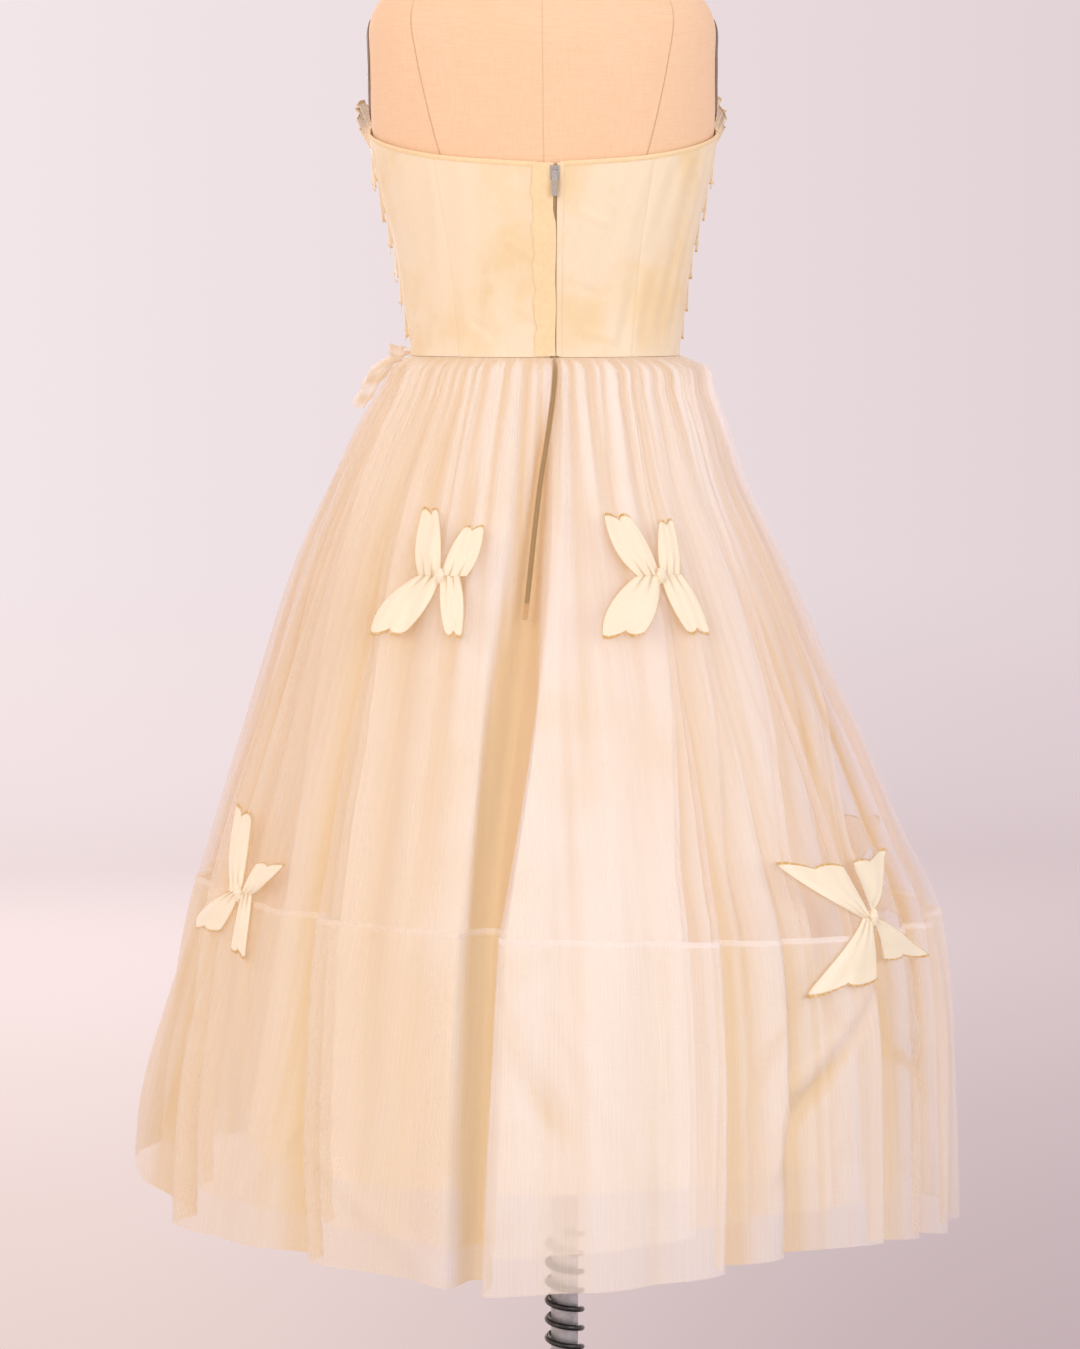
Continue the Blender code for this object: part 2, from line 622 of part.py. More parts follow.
def lining_sizes(height):
    waist_row = (WAIST,) + tuple(size + LINING_OUT for size in torso_sizes(WAIST))
    return between(LINING + (waist_row,), height)


def make_lining():
    taffeta = material("lining_taffeta", (0.95, 0.80, 0.62), 0.5)
    for side, start, end, quarter_count in (
        ("front", 90.0, 270.0, 2),
        ("back_left", 0.0, 90.0, 1),
        ("back_right", -90.0, 0.0, 1),
    ):

        def place(u, v, inward, start=start, end=end, quarter_count=quarter_count):
            height = WAIST - SEAM_GAP + (LINING_HEM - WAIST) * LINING_ROWS[round(v * (len(LINING_ROWS) - 1))]
            sizes = lining_sizes(height)
            low = shifted(start, height, SEAM_GAP / 2, sizes)
            high = shifted(end, height, -SEAM_GAP / 2, sizes)
            angle = low + (high - low) * u
            wave = 0.5 - 0.5 * math.cos(math.tau * LINING_WAVES * quarter_count * u)
            out = LINING_WAVE * min((WAIST - height) / LINING_WAVE_DROP, 1.0) * wave
            flat = oval(angle, *sizes, out - inward)
            return Vector((flat.x, flat.y, height))

        wall = LINING_OUT - LINING_IN
        rows = len(LINING_ROWS) - 1
        cloth(f"lining_{side}", LINING_COLUMNS * quarter_count, rows, wall, 0.0, place, taffeta)


def over_skirt(angle, height, out, reach):
    """A point over the skirt and its band, clear of every fold and gather within reach."""
    sizes = skirt_sizes(height)
    highest = None
    for step in range(-4, 5):
        near = shifted(angle, height, reach * step / 4, sizes)
        for rise in (-reach, 0.0, reach):
            flat = skirt_level(near, height + rise, 1.0)
            bare = oval(near, *skirt_sizes(height + rise))
            over = (flat - bare).length * (-1 if flat.length < bare.length else 1)
            highest = over if highest is None else max(highest, over)
    flat = oval(angle, *sizes, highest + out)
    return Vector((flat.x, flat.y, height))


def bow_outline(tips):
    """The bow's edge from its side notch round: five points for each wing and a notch between the wings."""
    outline = []
    for number, (across, up) in enumerate(tips):
        next_across, next_up = tips[(number + 1) % len(tips)]
        wing = [Vector((across * share, up * rise)) for share, rise in WING_OUTLINE]
        if number % 2:
            outline += wing[::-1] + [Vector((across * SIDE_NOTCH, 0.0))]
        else:
            outline += wing + [Vector((0.0, (up + next_up) / 2 * UPPER_NOTCH))]
    return outline


def make_bows():
    satin = material("bow_satin", (0.94, 0.83, 0.66), 0.35)
    for name, angle, height, press, tips in BOWS:
        sizes = skirt_sizes(height)
        outline = bow_outline(tips)

        def place(u, v, out, outline=outline, angle=angle, height=height, sizes=sizes, press=press * MM):
            ring = math.hypot(u, v)
            side = math.atan2(v, u) / math.tau * len(outline)
            corner = outline[round(side) % len(outline)] * ring
            at = shifted(angle, height, corner.x, sizes)
            lift = BOW_CLEARANCE - press + BOW_SLOPE * corner.length + out
            return over_skirt(at, height + corner.y, lift, BOW_REACH + BOW_REACH_SHARE * corner.length)

        bm = disc(len(outline), BOW_RINGS)
        thicken(bm, 0.0, BOW_WALL, place)
        add(f"bow_{name}", bm, satin)

        middle = place(0.0, 0.0, BOW_WALL)
        outward = (place(0.0, 0.0, 0.05) - middle).normalized()
        settled = 0.0
        for corner in range(len(outline)):
            turn = math.tau * corner / len(outline)
            inner = place(math.cos(turn) / BOW_RINGS, math.sin(turn) / BOW_RINGS, BOW_WALL) - middle
            rise = inner.dot(outward)
            away = (inner - outward * rise).length
            slope = max(rise / away, 0.0)
            deepest = math.hypot(slope * KNOT[1], KNOT[2])
            if slope * KNOT[1] ** 2 / deepest > away:
                settled = max(settled, rise - KNOT[2] * (1.0 - math.sqrt(1.0 - (away / KNOT[1]) ** 2)))
            else:
                settled = max(settled, deepest - KNOT[2])
        seat = middle + outward * (SEAM_GAP + KNOT_SETTLE * settled)
        bm = bmesh.new()
        bmesh.ops.create_uvsphere(bm, u_segments=8, v_segments=5, radius=1.0)
        bmesh.ops.scale(bm, vec=KNOT, verts=bm.verts)
        turn = outward.to_track_quat("Z", "Y").to_matrix().to_4x4()
        bmesh.ops.transform(bm, matrix=Matrix.Translation(seat + outward * KNOT[2]) @ turn, verts=bm.verts)
        add(f"knot_{name}", bm, satin)


def make_waist_bow():
    organza = material("waist_bow_organza", (0.94, 0.84, 0.70), 0.6)
    sizes = skirt_sizes(WAIST_BOW_HEIGHT)
    for name, side in (("waist_loop_back", -1), ("waist_loop_front", 1)):

        def place(u, v, out, side=side):
            """u runs out along the lower layer and back along the upper one, v across the strip."""
            reach = WAIST_LOOP["start"] + WAIST_LOOP["length"] * math.sin(math.pi * u)
            share = reach / WAIST_LOOP["length"]
            lift = WAIST_BOW_CLEARANCE + WAIST_LOOP["rise"] * (
                WAIST_LOOP["part"] * u + WAIST_LOOP["fall"] * math.sin(math.pi * u / 2) ** 2 * share
            )
            half = WAIST_LOOP["narrow"] + (WAIST_LOOP["wide"] - WAIST_LOOP["narrow"]) * min(share, 1.0)
            at = shifted(WAIST_BOW_ANGLE, WAIST_BOW_HEIGHT, side * reach, sizes)
            height = WAIST_BOW_HEIGHT - WAIST_BOW_SLANT * reach + (2 * v - 1) * half
            flat = oval(at, *skirt_sizes(min(height, WAIST)), lift + out * (1 if u > 0.5 else -1))
            return Vector((flat.x, flat.y, height))

        cloth(name, 12, 2, 0.0, FRILL_WALL, place, organza)


def round_bar(bm, radius, length, middle, sides=12):
    made = bmesh.ops.create_cone(bm, cap_ends=True, segments=sides, radius1=radius, radius2=radius,
                                 depth=length)
    bmesh.ops.rotate(bm, verts=made["verts"], cent=(0, 0, 0), matrix=Matrix.Rotation(math.pi / 2, 3, "Y"))
    bmesh.ops.translate(bm, vec=middle, verts=made["verts"])


def block(name, size, middle, finish):
    bm = bmesh.new()
    bmesh.ops.create_cube(bm, size=1.0)
    bmesh.ops.scale(bm, vec=size, verts=bm.verts)
    bmesh.ops.translate(bm, vec=middle, verts=bm.verts)
    return add(name, bm, finish, smooth=False)


def joined(body, *others):
    """Joins closed helpers to a body with Boolean unions, and keeps them out of the render."""
    for other in others:
        other.hide_render = True
        other.display_type = "WIRE"
        union = body.modifiers.new(f"with {other.name}", "BOOLEAN")
        union.operation = "UNION"
        union.solver = "EXACT"
        union.object = other


def make_zip():
    tape_cloth = material("zip_tape", (0.86, 0.66, 0.42), 0.8)
    silver = material("zip_metal", (0.72, 0.70, 0.66), 0.25, 1.0)
    half = ZIP_HALF_WIDTH - SEAM_GAP
    upper = [ZIP_TOP + (WAIST - ZIP_TOP) * row / BODICE_ROWS for row in range(BODICE_ROWS)]
    lower = [WAIST - SEAM_GAP / 2 + (BAND_SEAM - WAIST) * share for share in SKIRT_ROWS[:ZIP_SKIRT_ROWS]]
    heights = upper + lower

    def tape(u, v, inward):
        height = heights[round(v * (len(heights) - 1))]
        if height > WAIST:
            middle = back_seam(WAIST)
            angle = shifted(middle, WAIST, half * (2 * u - 1), torso_sizes(WAIST))
            return torso_point(angle, height, BODICE_OUT - TAPE_BELOW - inward)
        angle = shifted(back_seam(height), height, half * (2 * u - 1), skirt_sizes(height))
        return skirt_point(angle, height, TAPE_BELOW + inward, at_seam=True)

    cloth("zip_tape", 1, len(heights) - 1, TAPE_WALL, 0.0, tape, tape_cloth)

    seat = torso_point(back_seam(WAIST), ZIP_TOP - SLIDER[2] / 2, BODICE_OUT + SEAM_GAP)
    outward = Vector((0.0, 1.0, 0.0))
    plate_middle = seat + outward * (SLIDER[1] / 2 + SLIDER_LIFT)
    bar_middle = Vector((plate_middle.x, plate_middle.y + SLIDER[1] / 2 + BAR_LIFT, ZIP_TOP - BAR_DROP))
    slider = block("zip_slider", SLIDER, plate_middle, silver)
    ears = []
    for side in (-1, 1):
        ear_middle = bar_middle + Vector((side * (BAR_LENGTH / 2 - EAR_INSET), -EAR_SINK, 0.0))
        ears.append(block(f"ear_{side + 1}", EAR, ear_middle, silver))
    bm = bmesh.new()
    round_bar(bm, BAR_RADIUS, BAR_LENGTH - 2 * EAR_INSET, bar_middle)
    joined(slider, *ears, add("slider_bar", bm, silver))

    hinge = bpy.data.objects.new("zip_pull_hinge", None)
    hinge.location = bar_middle
    bpy.context.scene.collection.objects.link(hinge)
    outer = EYE_RADIUS + EYE_WALL
    bm = bmesh.new()
    round_bar(bm, outer, EYE_LENGTH, Vector((0, 0, 0)), 16)
    pull = add("zip_pull", bm, silver)
    pull.parent = hinge
    neck_middle = Vector((0, 0, -outer * TAB_OVERLAP - TAB_NECK / 2))
    neck = block("tab_neck", (EYE_LENGTH, TAB[1], TAB_NECK), neck_middle, silver)
    plate = block("tab_plate", TAB, Vector((0, 0, -TAB_NECK - TAB[2] / 2)), silver)
    for piece in (neck, plate):
        piece.parent = hinge
    bm = bmesh.new()
    round_bar(bm, EYE_RADIUS, 4 * EYE_LENGTH, Vector((0, 0, 0)), 16)
    bore = add("eye_bore", bm, silver)
    bore.parent = hinge
    bore.hide_render = True
    bore.display_type = "WIRE"
    joined(pull, neck, plate)
    cut = pull.modifiers.new("eye", "BOOLEAN")
    cut.operation = "DIFFERENCE"
    cut.solver = "EXACT"
    cut.object = bore


for leftover in list(bpy.data.objects):
    bpy.data.objects.remove(leftover, do_unlink=True)
make_form()
make_stand()
make_bodice()
make_frills()
make_skirt()
make_lining()
make_bows()
make_waist_bow()
make_zip()
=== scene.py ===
"""Looks for a strapless gathered organza cocktail dress on a limbless dress form. Metres, +Z up.

Angles round the garment are in degrees from the centre back (+Y), positive towards the wearer's left (+X).
"""

import math

import bmesh
import bpy
import numpy as np
from mathutils import Matrix, Vector


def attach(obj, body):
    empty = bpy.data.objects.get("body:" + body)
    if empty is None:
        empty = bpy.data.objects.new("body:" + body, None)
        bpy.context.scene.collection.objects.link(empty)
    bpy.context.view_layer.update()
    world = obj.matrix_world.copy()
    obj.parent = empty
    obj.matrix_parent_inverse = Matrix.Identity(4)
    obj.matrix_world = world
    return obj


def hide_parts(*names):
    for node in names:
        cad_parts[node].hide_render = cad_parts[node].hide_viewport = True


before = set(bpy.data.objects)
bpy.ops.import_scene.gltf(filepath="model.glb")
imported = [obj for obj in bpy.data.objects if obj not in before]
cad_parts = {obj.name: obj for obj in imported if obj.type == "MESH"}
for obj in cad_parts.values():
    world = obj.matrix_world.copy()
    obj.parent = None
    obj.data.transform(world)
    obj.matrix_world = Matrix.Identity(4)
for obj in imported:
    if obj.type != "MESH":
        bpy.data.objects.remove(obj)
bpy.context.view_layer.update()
MM = 0.001


# ---- Dress form ----
# The torso is papier-mache under tightly stretched peach linen, sewn from panels with princess seams and a
# centre-back seam that show as fine sunk lines.

WAIST = 1.064
NECK_TOP = 1.505
TORSO_MIDDLE, TORSO_LEAN = 0.018, 0.009
# Height, half width, depth to the front, depth to the back
TORSO = (
    (0.824, 0.150, 0.104, 0.106),
    (0.850, 0.162, 0.114, 0.119),
    (0.900, 0.162, 0.114, 0.121),
    (0.960, 0.149, 0.106, 0.110),
    (1.020, 0.128, 0.093, 0.092),
    (1.064, 0.119, 0.088, 0.086),
    (1.110, 0.124, 0.092, 0.087),
    (1.165, 0.133, 0.103, 0.092),
    (1.205, 0.143, 0.113, 0.095),
    (1.246, 0.152, 0.118, 0.097),
    (1.290, 0.156, 0.112, 0.098),
    (1.335, 0.157, 0.096, 0.097),
    (1.365, 0.155, 0.080, 0.091),
    (1.387, 0.143, 0.067, 0.079),
    (1.405, 0.118, 0.058, 0.067),
    (1.424, 0.088, 0.052, 0.058),
    (1.446, 0.064, 0.050, 0.053),
    (1.475, 0.055, 0.048, 0.050),
    (1.505, 0.053, 0.047, 0.049),
)
BUST = {"angle": 143, "height": 1.222, "half_angle": 38, "half_height": 0.088, "proud": 0.011}


def between(rows, at):
    """The other columns of the table at these heights or angles, on smooth curves through its rows."""
    rows = np.array(sorted(rows))
    at = np.clip(np.asarray(at, float), rows[0, 0], rows[-1, 0])
    last = np.clip(np.searchsorted(rows[:, 0], at), 1, len(rows) - 1)
    before, start, end, after = (rows[np.clip(last + step, 0, len(rows) - 1)] for step in (-2, -1, 0, 1))
    span = end[..., :1] - start[..., :1]
    t = (at[..., None] - start[..., :1]) / span
    slope_in = (end - before) / (end[..., :1] - before[..., :1]) * span
    slope_out = (after - start) / (after[..., :1] - start[..., :1]) * span
    rise = end - start
    found = start + slope_in * t + (3 * rise - 2 * slope_in - slope_out) * t**2
    found = found + (slope_in + slope_out - 2 * rise) * t**3
    return [found[..., column] for column in range(1, rows.shape[1])]


def hump(offset, half_width):
    """1 in the middle, falling smoothly to 0 at the half width."""
    share = np.clip(np.abs(offset) / half_width, 0, 1)
    return 0.5 + 0.5 * np.cos(np.pi * share)


def ease(share):
    """From 0 to 1 with level ends."""
    share = np.clip(share, 0, 1)
    return share * share * (3 - 2 * share)


def turn_between(a, b):
    """The signed turn from b to a, in degrees."""
    return (a - b + 180) % 360 - 180


def oval(angle, left, right, back, front, out=0, middle=TORSO_MIDDLE):
    """Points of a section with four half sizes, moved out along the section's own normal."""
    sine, cosine = np.sin(np.radians(angle)), np.cos(np.radians(angle))
    across = np.where(sine > 0, left, right)
    deep = np.where(cosine > 0, back, front)
    normal = np.stack((deep * sine, across * cosine), axis=-1)
    normal = normal / np.linalg.norm(normal, axis=-1, keepdims=True)
    flat = np.stack((middle + across * sine, deep * cosine + 0 * middle), axis=-1)
    return flat + normal * np.asarray(out + 0 * sine)[..., None]


def stacked(flat, height):
    """Flat points, each at its height."""
    return np.concatenate((flat, np.broadcast_to(height, flat.shape[:-1])[..., None]), axis=-1)


def torso_point(angle, height, out=0):
    """A point of the form, moved out from its surface."""
    half, front, back = between(TORSO, height)
    aside = hump(np.abs(turn_between(angle, 180)) - (180 - BUST["angle"]), BUST["half_angle"])
    bust = BUST["proud"] * aside * hump(height - BUST["height"], BUST["half_height"])
    middle = TORSO_MIDDLE + TORSO_LEAN * np.maximum(height - WAIST, 0)
    return stacked(oval(angle, half, half, back, front, out + bust, middle), height)


def tint(red, green, blue):
    """A colour as a screen shows it, 0 to 255, for a shader."""
    shares = [value / 255 for value in (red, green, blue)]
    return (*[s / 12.92 if s <= 0.04045 else ((s + 0.055) / 1.055) ** 2.4 for s in shares], 1)


def math_node(operation):
    """A Python operator for terms that adds a Math node to their finish."""
    return lambda term, *others: term.finish.node("ShaderNodeMath", (term, *others), operation=operation)


class Term:
    """A node's output that can be used in Python sums."""

    def __init__(self, finish, socket):
        self.finish, self.socket = finish, socket

    __add__ = __radd__ = math_node("ADD")
    __mul__ = __rmul__ = math_node("MULTIPLY")
    __sub__ = math_node("SUBTRACT")
    __truediv__ = math_node("DIVIDE")
    __abs__ = math_node("ABSOLUTE")


class Finish:
    """The nodes of one material, or of the world, and the shader they feed."""

    def __init__(self, name, owner=None, shader="Principled BSDF", **values):
        self.owner = owner or bpy.data.materials.new(name)
        self.owner.use_nodes = True
        self.tree = self.owner.node_tree
        self.shader = self.tree.nodes[shader]
        self.paint(**values)
        places = self.tree.nodes.new("ShaderNodeTexCoord").outputs
        self.generated, self.uv, self.object = (Term(self, places[number]) for number in (0, 2, 3))

    def node(self, kind, sockets=(), output=0, **settings):
        """A new node with these socket values, by name or in order. Gives one of its outputs."""
        made = self.tree.nodes.new(kind)
        for setting, value in settings.items():
            setattr(made, setting, value)
        for socket, value in sockets.items() if isinstance(sockets, dict) else enumerate(sockets):
            self.feed(made.inputs[socket], value)
        return Term(self, made.outputs[output])

    def feed(self, socket, value):
        if isinstance(value, Term):
            self.tree.links.new(value.socket, socket)
        else:
            socket.default_value = value

    def paint(self, **values):
        for socket, value in values.items():
            self.feed(self.shader.inputs[socket.replace("_", " ")], value)

    def noise(self, scale, detail=2, stretch=(1, 1, 1), roughness=0.5, place=None):
        """Smooth noise from 0 to 1. The stretch squeezes it along each axis."""
        at = self.node("ShaderNodeMapping", {"Vector": place or self.object, "Scale": stretch})
        return self.node("ShaderNodeTexNoise",
                         {"Vector": at, "Scale": scale, "Detail": detail, "Roughness": roughness})

    def threads(self, place, *stretch, detail=2):
        """Noise drawn out into threads, by how close they lie along each axis."""
        return self.noise(1, detail, stretch, place=place)

    def ramp(self, value, low, high, start=0, end=1, kind="SMOOTHSTEP"):
        """A value taken from one range to another."""
        return self.node("ShaderNodeMapRange", {"Value": value, "From Min": low, "From Max": high,
                                                "To Min": start, "To Max": end}, interpolation_type=kind)

    def mix(self, first, *layers):
        """A colour with others laid over it in turn, each by its share."""
        color = first if isinstance(first, Term) else tint(*first)
        for share, over in layers:
            over = over if isinstance(over, Term) else tint(*over)
            color = self.node("ShaderNodeMix", {0: share, 6: color, 7: over}, output=2, data_type="RGBA")
        return color

    def axis(self, place, name):
        return self.node("ShaderNodeSeparateXYZ", (place,), output="XYZ".index(name))

    def mark(self, name):
        return self.node("ShaderNodeAttribute", output=2, attribute_name=name)

    def bump(self, height, distance, strength=1):
        return self.node("ShaderNodeBump", {"Height": height, "Distance": distance, "Strength": strength})


def grained(name, pattern, dark, pale, depth, strength, **shader):
    """A finish whose colour and relief follow one noise: its scale, detail and stretch."""
    made = Finish(name, **shader)
    grain = made.noise(*pattern)
    made.paint(Base_Color=made.mix(dark, (grain, pale)), Normal=made.bump(grain, depth, strength))
    return made


def linked(name, data):
    """A new object in the scene."""
    made = bpy.data.objects.new(name, data)
    bpy.context.scene.collection.objects.link(made)
    return made


def add(name, bm, finish, slot, stands_for=(), body="dress_on_form", size=(1, 1), smooth=True):
    """Makes a mesh a piece of the object: its faces out, its UVs in metres, on its body."""
    bmesh.ops.recalc_face_normals(bm, faces=bm.faces)
    mesh = bpy.data.meshes.new(name)
    bm.to_mesh(mesh)
    bm.free()
    if smooth:
        mesh.shade_smooth()
        mesh.set_sharp_from_angle(angle=math.radians(50))
    if mesh.uv_layers:
        cut = np.empty(2 * len(mesh.loops), np.float32)
        mesh.uv_layers[0].uv.foreach_get("vector", cut)
        mesh.uv_layers[0].uv.foreach_set("vector", (cut.reshape(-1, 2) * np.array(size, np.float32)).ravel())
    mesh.materials.append(finish.owner)
    piece = linked(name, mesh)
    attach(piece, body)
    if stands_for:
        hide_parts(*stands_for)
    return piece


def grid(columns, rows):
    """A flat sheet from 0 to 1 both ways, with UVs."""
    bm = bmesh.new()
    bm.loops.layers.uv.new("cut")
    bmesh.ops.create_grid(bm, x_segments=columns, y_segments=rows, size=0.5, calc_uvs=True)
    bmesh.ops.translate(bm, vec=(0.5, 0.5, 0), verts=bm.verts)
    return bm


def second_skin(bm):
    """Doubles a flat sheet, its copy one metre above it with walls between, and gives all its points."""
    raised = bmesh.ops.extrude_face_region(bm, geom=bm.faces[:], use_keep_orig=True)["geom"]
    raised = [item for item in raised if isinstance(item, bmesh.types.BMVert)]
    bmesh.ops.translate(bm, vec=(0, 0, 1), verts=raised)
    return np.array([vert.co for vert in bm.verts])


def put(bm, points):
    for vert, point in zip(bm.verts, points):
        vert.co = point


def tube(name, columns, rows, place, finish, slot, stands_for):
    """A closed body: a sheet bent round to meet itself, each point put by place(u, v), its ends filled."""
    bm = grid(columns, rows)
    at = np.array([vert.co for vert in bm.verts])
    put(bm, place(at[:, 0], at[:, 1]))
    bmesh.ops.remove_doubles(bm, verts=bm.verts, dist=1e-5)
    bmesh.ops.holes_fill(bm, edges=[edge for edge in bm.edges if edge.is_boundary])
    return add(name, bm, finish, slot, stands_for)


linen = Finish("peach linen", Roughness=0.82, Sheen_Weight=0.25, Sheen_Roughness=0.5, Specular_IOR_Level=0.25)
weave = linen.threads(linen.object, 1500, 1500, 70, detail=3)
weave = weave + linen.threads(linen.object, 70, 70, 1500, detail=3)
turn = (linen.axis(linen.uv, "X") - 0.5) * 360
up = linen.axis(linen.uv, "Y") * (NECK_TOP - TORSO[0][0]) + TORSO[0][0]
princess = abs(abs(turn) - (38 + (up - 1.25) * 95))
joins = linen.ramp(princess, 0.12, 0.42, 1, 0) * linen.ramp(up, 1.36, 1.40, 1, 0)
joins = joins + linen.ramp(abs(turn), 0.10, 0.32, 1, 0) * 0.5
blotch = linen.ramp(linen.noise(9, 3), 0.35, 0.75) * 0.25
linen.paint(Base_Color=linen.mix((244, 204, 164), (linen.ramp(weave, 0.75, 1.25), (250, 214, 178)),
                                 (blotch, (246, 204, 160)), (joins * 0.45, (186, 128, 84))),
            Normal=linen.bump(weave * 0.5 - joins * 1.6, 0.0004, 0.6))


def torso_skin(u, v):
    return torso_point((u - 0.5) * 360, TORSO[0][0] + (NECK_TOP - TORSO[0][0]) * v)


tube("form_linen_torso", 160, 110, torso_skin, linen, "form_linen", ["form_torso"])

# The neck is closed with a linen-covered wooden cap, a little wider than the neck.
# Height above the neck's top and share of the neck's size
CAP = ((0.0003, 0.97), (0.0012, 1.03), (0.0040, 1.05), (0.0075, 1.04), (0.0100, 0.98), (0.0113, 0.85))

cap_linen = grained("cap linen", (1, 2, (1100, 1100, 500)), (205, 150, 102), (233, 181, 131), 0.0003, 0.5,
                    Roughness=0.8, Sheen_Weight=0.2)


def cap_skin(u, v):
    level = v * (len(CAP) - 1)
    rows = [(float(number), *row) for number, row in enumerate(CAP)]
    rise, share = between(rows, level)
    rim = torso_point((u - 0.5) * 360, NECK_TOP + 0 * u)
    middle = TORSO_MIDDLE + TORSO_LEAN * (NECK_TOP - WAIST)
    return np.stack((middle + (rim[:, 0] - middle) * share, rim[:, 1] * share, NECK_TOP + rise), axis=-1)


tube("form_cap_cover", 96, 15, cap_skin, cap_linen, "form_cap", ["form_neck_cap"])

# An oval metal plate with a rolled rim closes each arm's opening.
PLATE = {"angle": 98, "middle": 1.3205, "half_height": 0.047, "half_angle": 17, "inner": 0.3 * MM,
         "outer": 1.8 * MM, "dished": 0.55, "rim": 0.93, "rim_half": 0.07}

plate_metal = Finish("arm plate metal", Metallic=0.85)
tarnish = plate_metal.noise(60, 4)
plate_metal.paint(Base_Color=plate_metal.mix((128, 112, 100), (tarnish, (176, 160, 146))),
                  Roughness=plate_metal.ramp(tarnish, 0.3, 0.7, 0.32, 0.5),
                  Normal=plate_metal.bump(plate_metal.threads(plate_metal.object, 900, 900, 60), 0.0001, 0.5))


def disc(sides, rings):
    """A flat disc of radius 1, in triangles round its middle and then in rings."""
    bm = bmesh.new()
    bmesh.ops.create_circle(bm, cap_ends=True, cap_tris=True, segments=sides, radius=1 / rings)
    for ring in range(1, rings):
        rim = [edge for edge in bm.edges if edge.is_boundary]
        grown = bmesh.ops.extrude_edge_only(bm, edges=rim)
        moved = [item for item in grown["geom"] if isinstance(item, bmesh.types.BMVert)]
        bmesh.ops.scale(bm, vec=((ring + 1) / ring,) * 2 + (1,), verts=moved)
    return bm


for side, name in ((1, "left"), (-1, "right")):
    bm = disc(64, 12)
    across, up, skin = second_skin(bm).T
    inward = (np.hypot(across, up) - PLATE["rim"]) / PLATE["rim_half"]
    rolled = np.sqrt(np.clip(1 - inward**2, 0, 1))
    proud = PLATE["inner"] + (PLATE["outer"] - PLATE["inner"]) * skin * np.maximum(PLATE["dished"], rolled)
    put(bm, torso_point(side * PLATE["angle"] + PLATE["half_angle"] * across,
                        PLATE["middle"] + PLATE["half_height"] * up, proud))
    add(f"arm_plate_{name}", bm, plate_metal, "form_plate", [f"form_arm_plate_{name}"])

# The torso stands on a wooden board with the pole's hole in it.
board_wood = grained("board wood", (1, 5, (14, 160, 60)), (133, 92, 58), (186, 141, 98), 0.0004, 1,
                     Roughness=0.55)
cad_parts["form_bottom_board"].data.materials[0] = board_wood.owner


# ---- Stand ----
# A satin steel pole carries the form. A glossy black coil spring sits round it, above the black iron collar
# of a round weighted base.

POLE_RADIUS, POLE_FOOT, POLE_TOP = 0.0125, 0.012, 0.8234
COLLAR_RADIUS, COLLAR_BOTTOM, COLLAR_TOP = 0.024, 0.058, 0.098
SPRING_RADIUS, SPRING_WIRE, SPRING_PITCH, SPRING_TURNS = 0.0158, 0.0029, 0.0176, 9
BASE_PROFILE = ((0, 0), (0.188, 0), (0.190, 0.002), (0.190, 0.005), (0.188, 0.0085), (0.182, 0.0110),
                (0.170, 0.0122), (0.120, 0.0150), (0.060, 0.0195), (0.046, 0.0225), (0.036, 0.0290),
                (0.030, 0.0400), (0.0275, 0.0520), (0.026, 0.0566), (0.0245, 0.0577), (0.0128, 0.0577),
                (0.0128, 0.0117), (0, 0.0117))

steel = Finish("pole steel", Metallic=0.55)
rings = steel.threads(steel.object, 60, 60, 1400, detail=3)
wear = steel.noise(45, 5, roughness=0.7)
steel.paint(Base_Color=steel.mix((214, 212, 214), (steel.ramp(wear, 0.4, 0.75), (168, 162, 160))),
            Roughness=steel.ramp(wear, 0.3, 0.7, 0.3, 0.52), Normal=steel.bump(rings, 0.0001, 0.4))
enamel = Finish("black enamel", Coat_Weight=0.7, Coat_Roughness=0.08, Roughness=0.3)
chips = enamel.noise(70, 5, roughness=0.65)
enamel.paint(Base_Color=enamel.mix((20, 21, 24), (enamel.ramp(chips, 0.62, 0.72), (58, 52, 48))),
             Normal=enamel.bump(chips, 0.0002, 0.4))


def turned(name, profile, sides, finish, slot, stands_for):
    """A profile of radius and height turned once round the pole's axis."""
    bm = bmesh.new()
    verts = [bm.verts.new((radius, 0, height)) for radius, height in profile]
    edges = [bm.edges.new((verts[number - 1], verts[number])) for number in range(1, len(verts))]
    if profile[0][0] > 0:
        edges.append(bm.edges.new((verts[-1], verts[0])))
    bmesh.ops.spin(bm, geom=verts + edges, cent=(0, 0, 0), axis=(0, 0, 1), angle=math.tau, steps=sides,
                   use_merge=True)
    bmesh.ops.remove_doubles(bm, verts=bm.verts, dist=1e-6)
    return add(name, bm, finish, slot, stands_for)


edge = 0.6 * MM
turned("pole_tube", ((0, POLE_FOOT), (POLE_RADIUS - edge, POLE_FOOT), (POLE_RADIUS, POLE_FOOT + edge),
                     (POLE_RADIUS, POLE_TOP - edge), (POLE_RADIUS - edge, POLE_TOP), (0, POLE_TOP)),
       64, steel, "stand_pole", ["stand_pole"])
bore, round_off = POLE_RADIUS + 0.3 * MM, 2 * MM
turned("pole_collar", ((bore, COLLAR_BOTTOM), (COLLAR_RADIUS - round_off, COLLAR_BOTTOM),
                       (COLLAR_RADIUS, COLLAR_BOTTOM + round_off), (COLLAR_RADIUS, 0.074), (0.0225, 0.076),
                       (0.0225, 0.080), (COLLAR_RADIUS, 0.082), (COLLAR_RADIUS, COLLAR_TOP - round_off),
                       (COLLAR_RADIUS - round_off, COLLAR_TOP), (bore, COLLAR_TOP)),
       64, enamel, "stand_black", ["stand_collar"])
turned("weighted_base", BASE_PROFILE, 128, enamel, "stand_black", ["stand_base"])

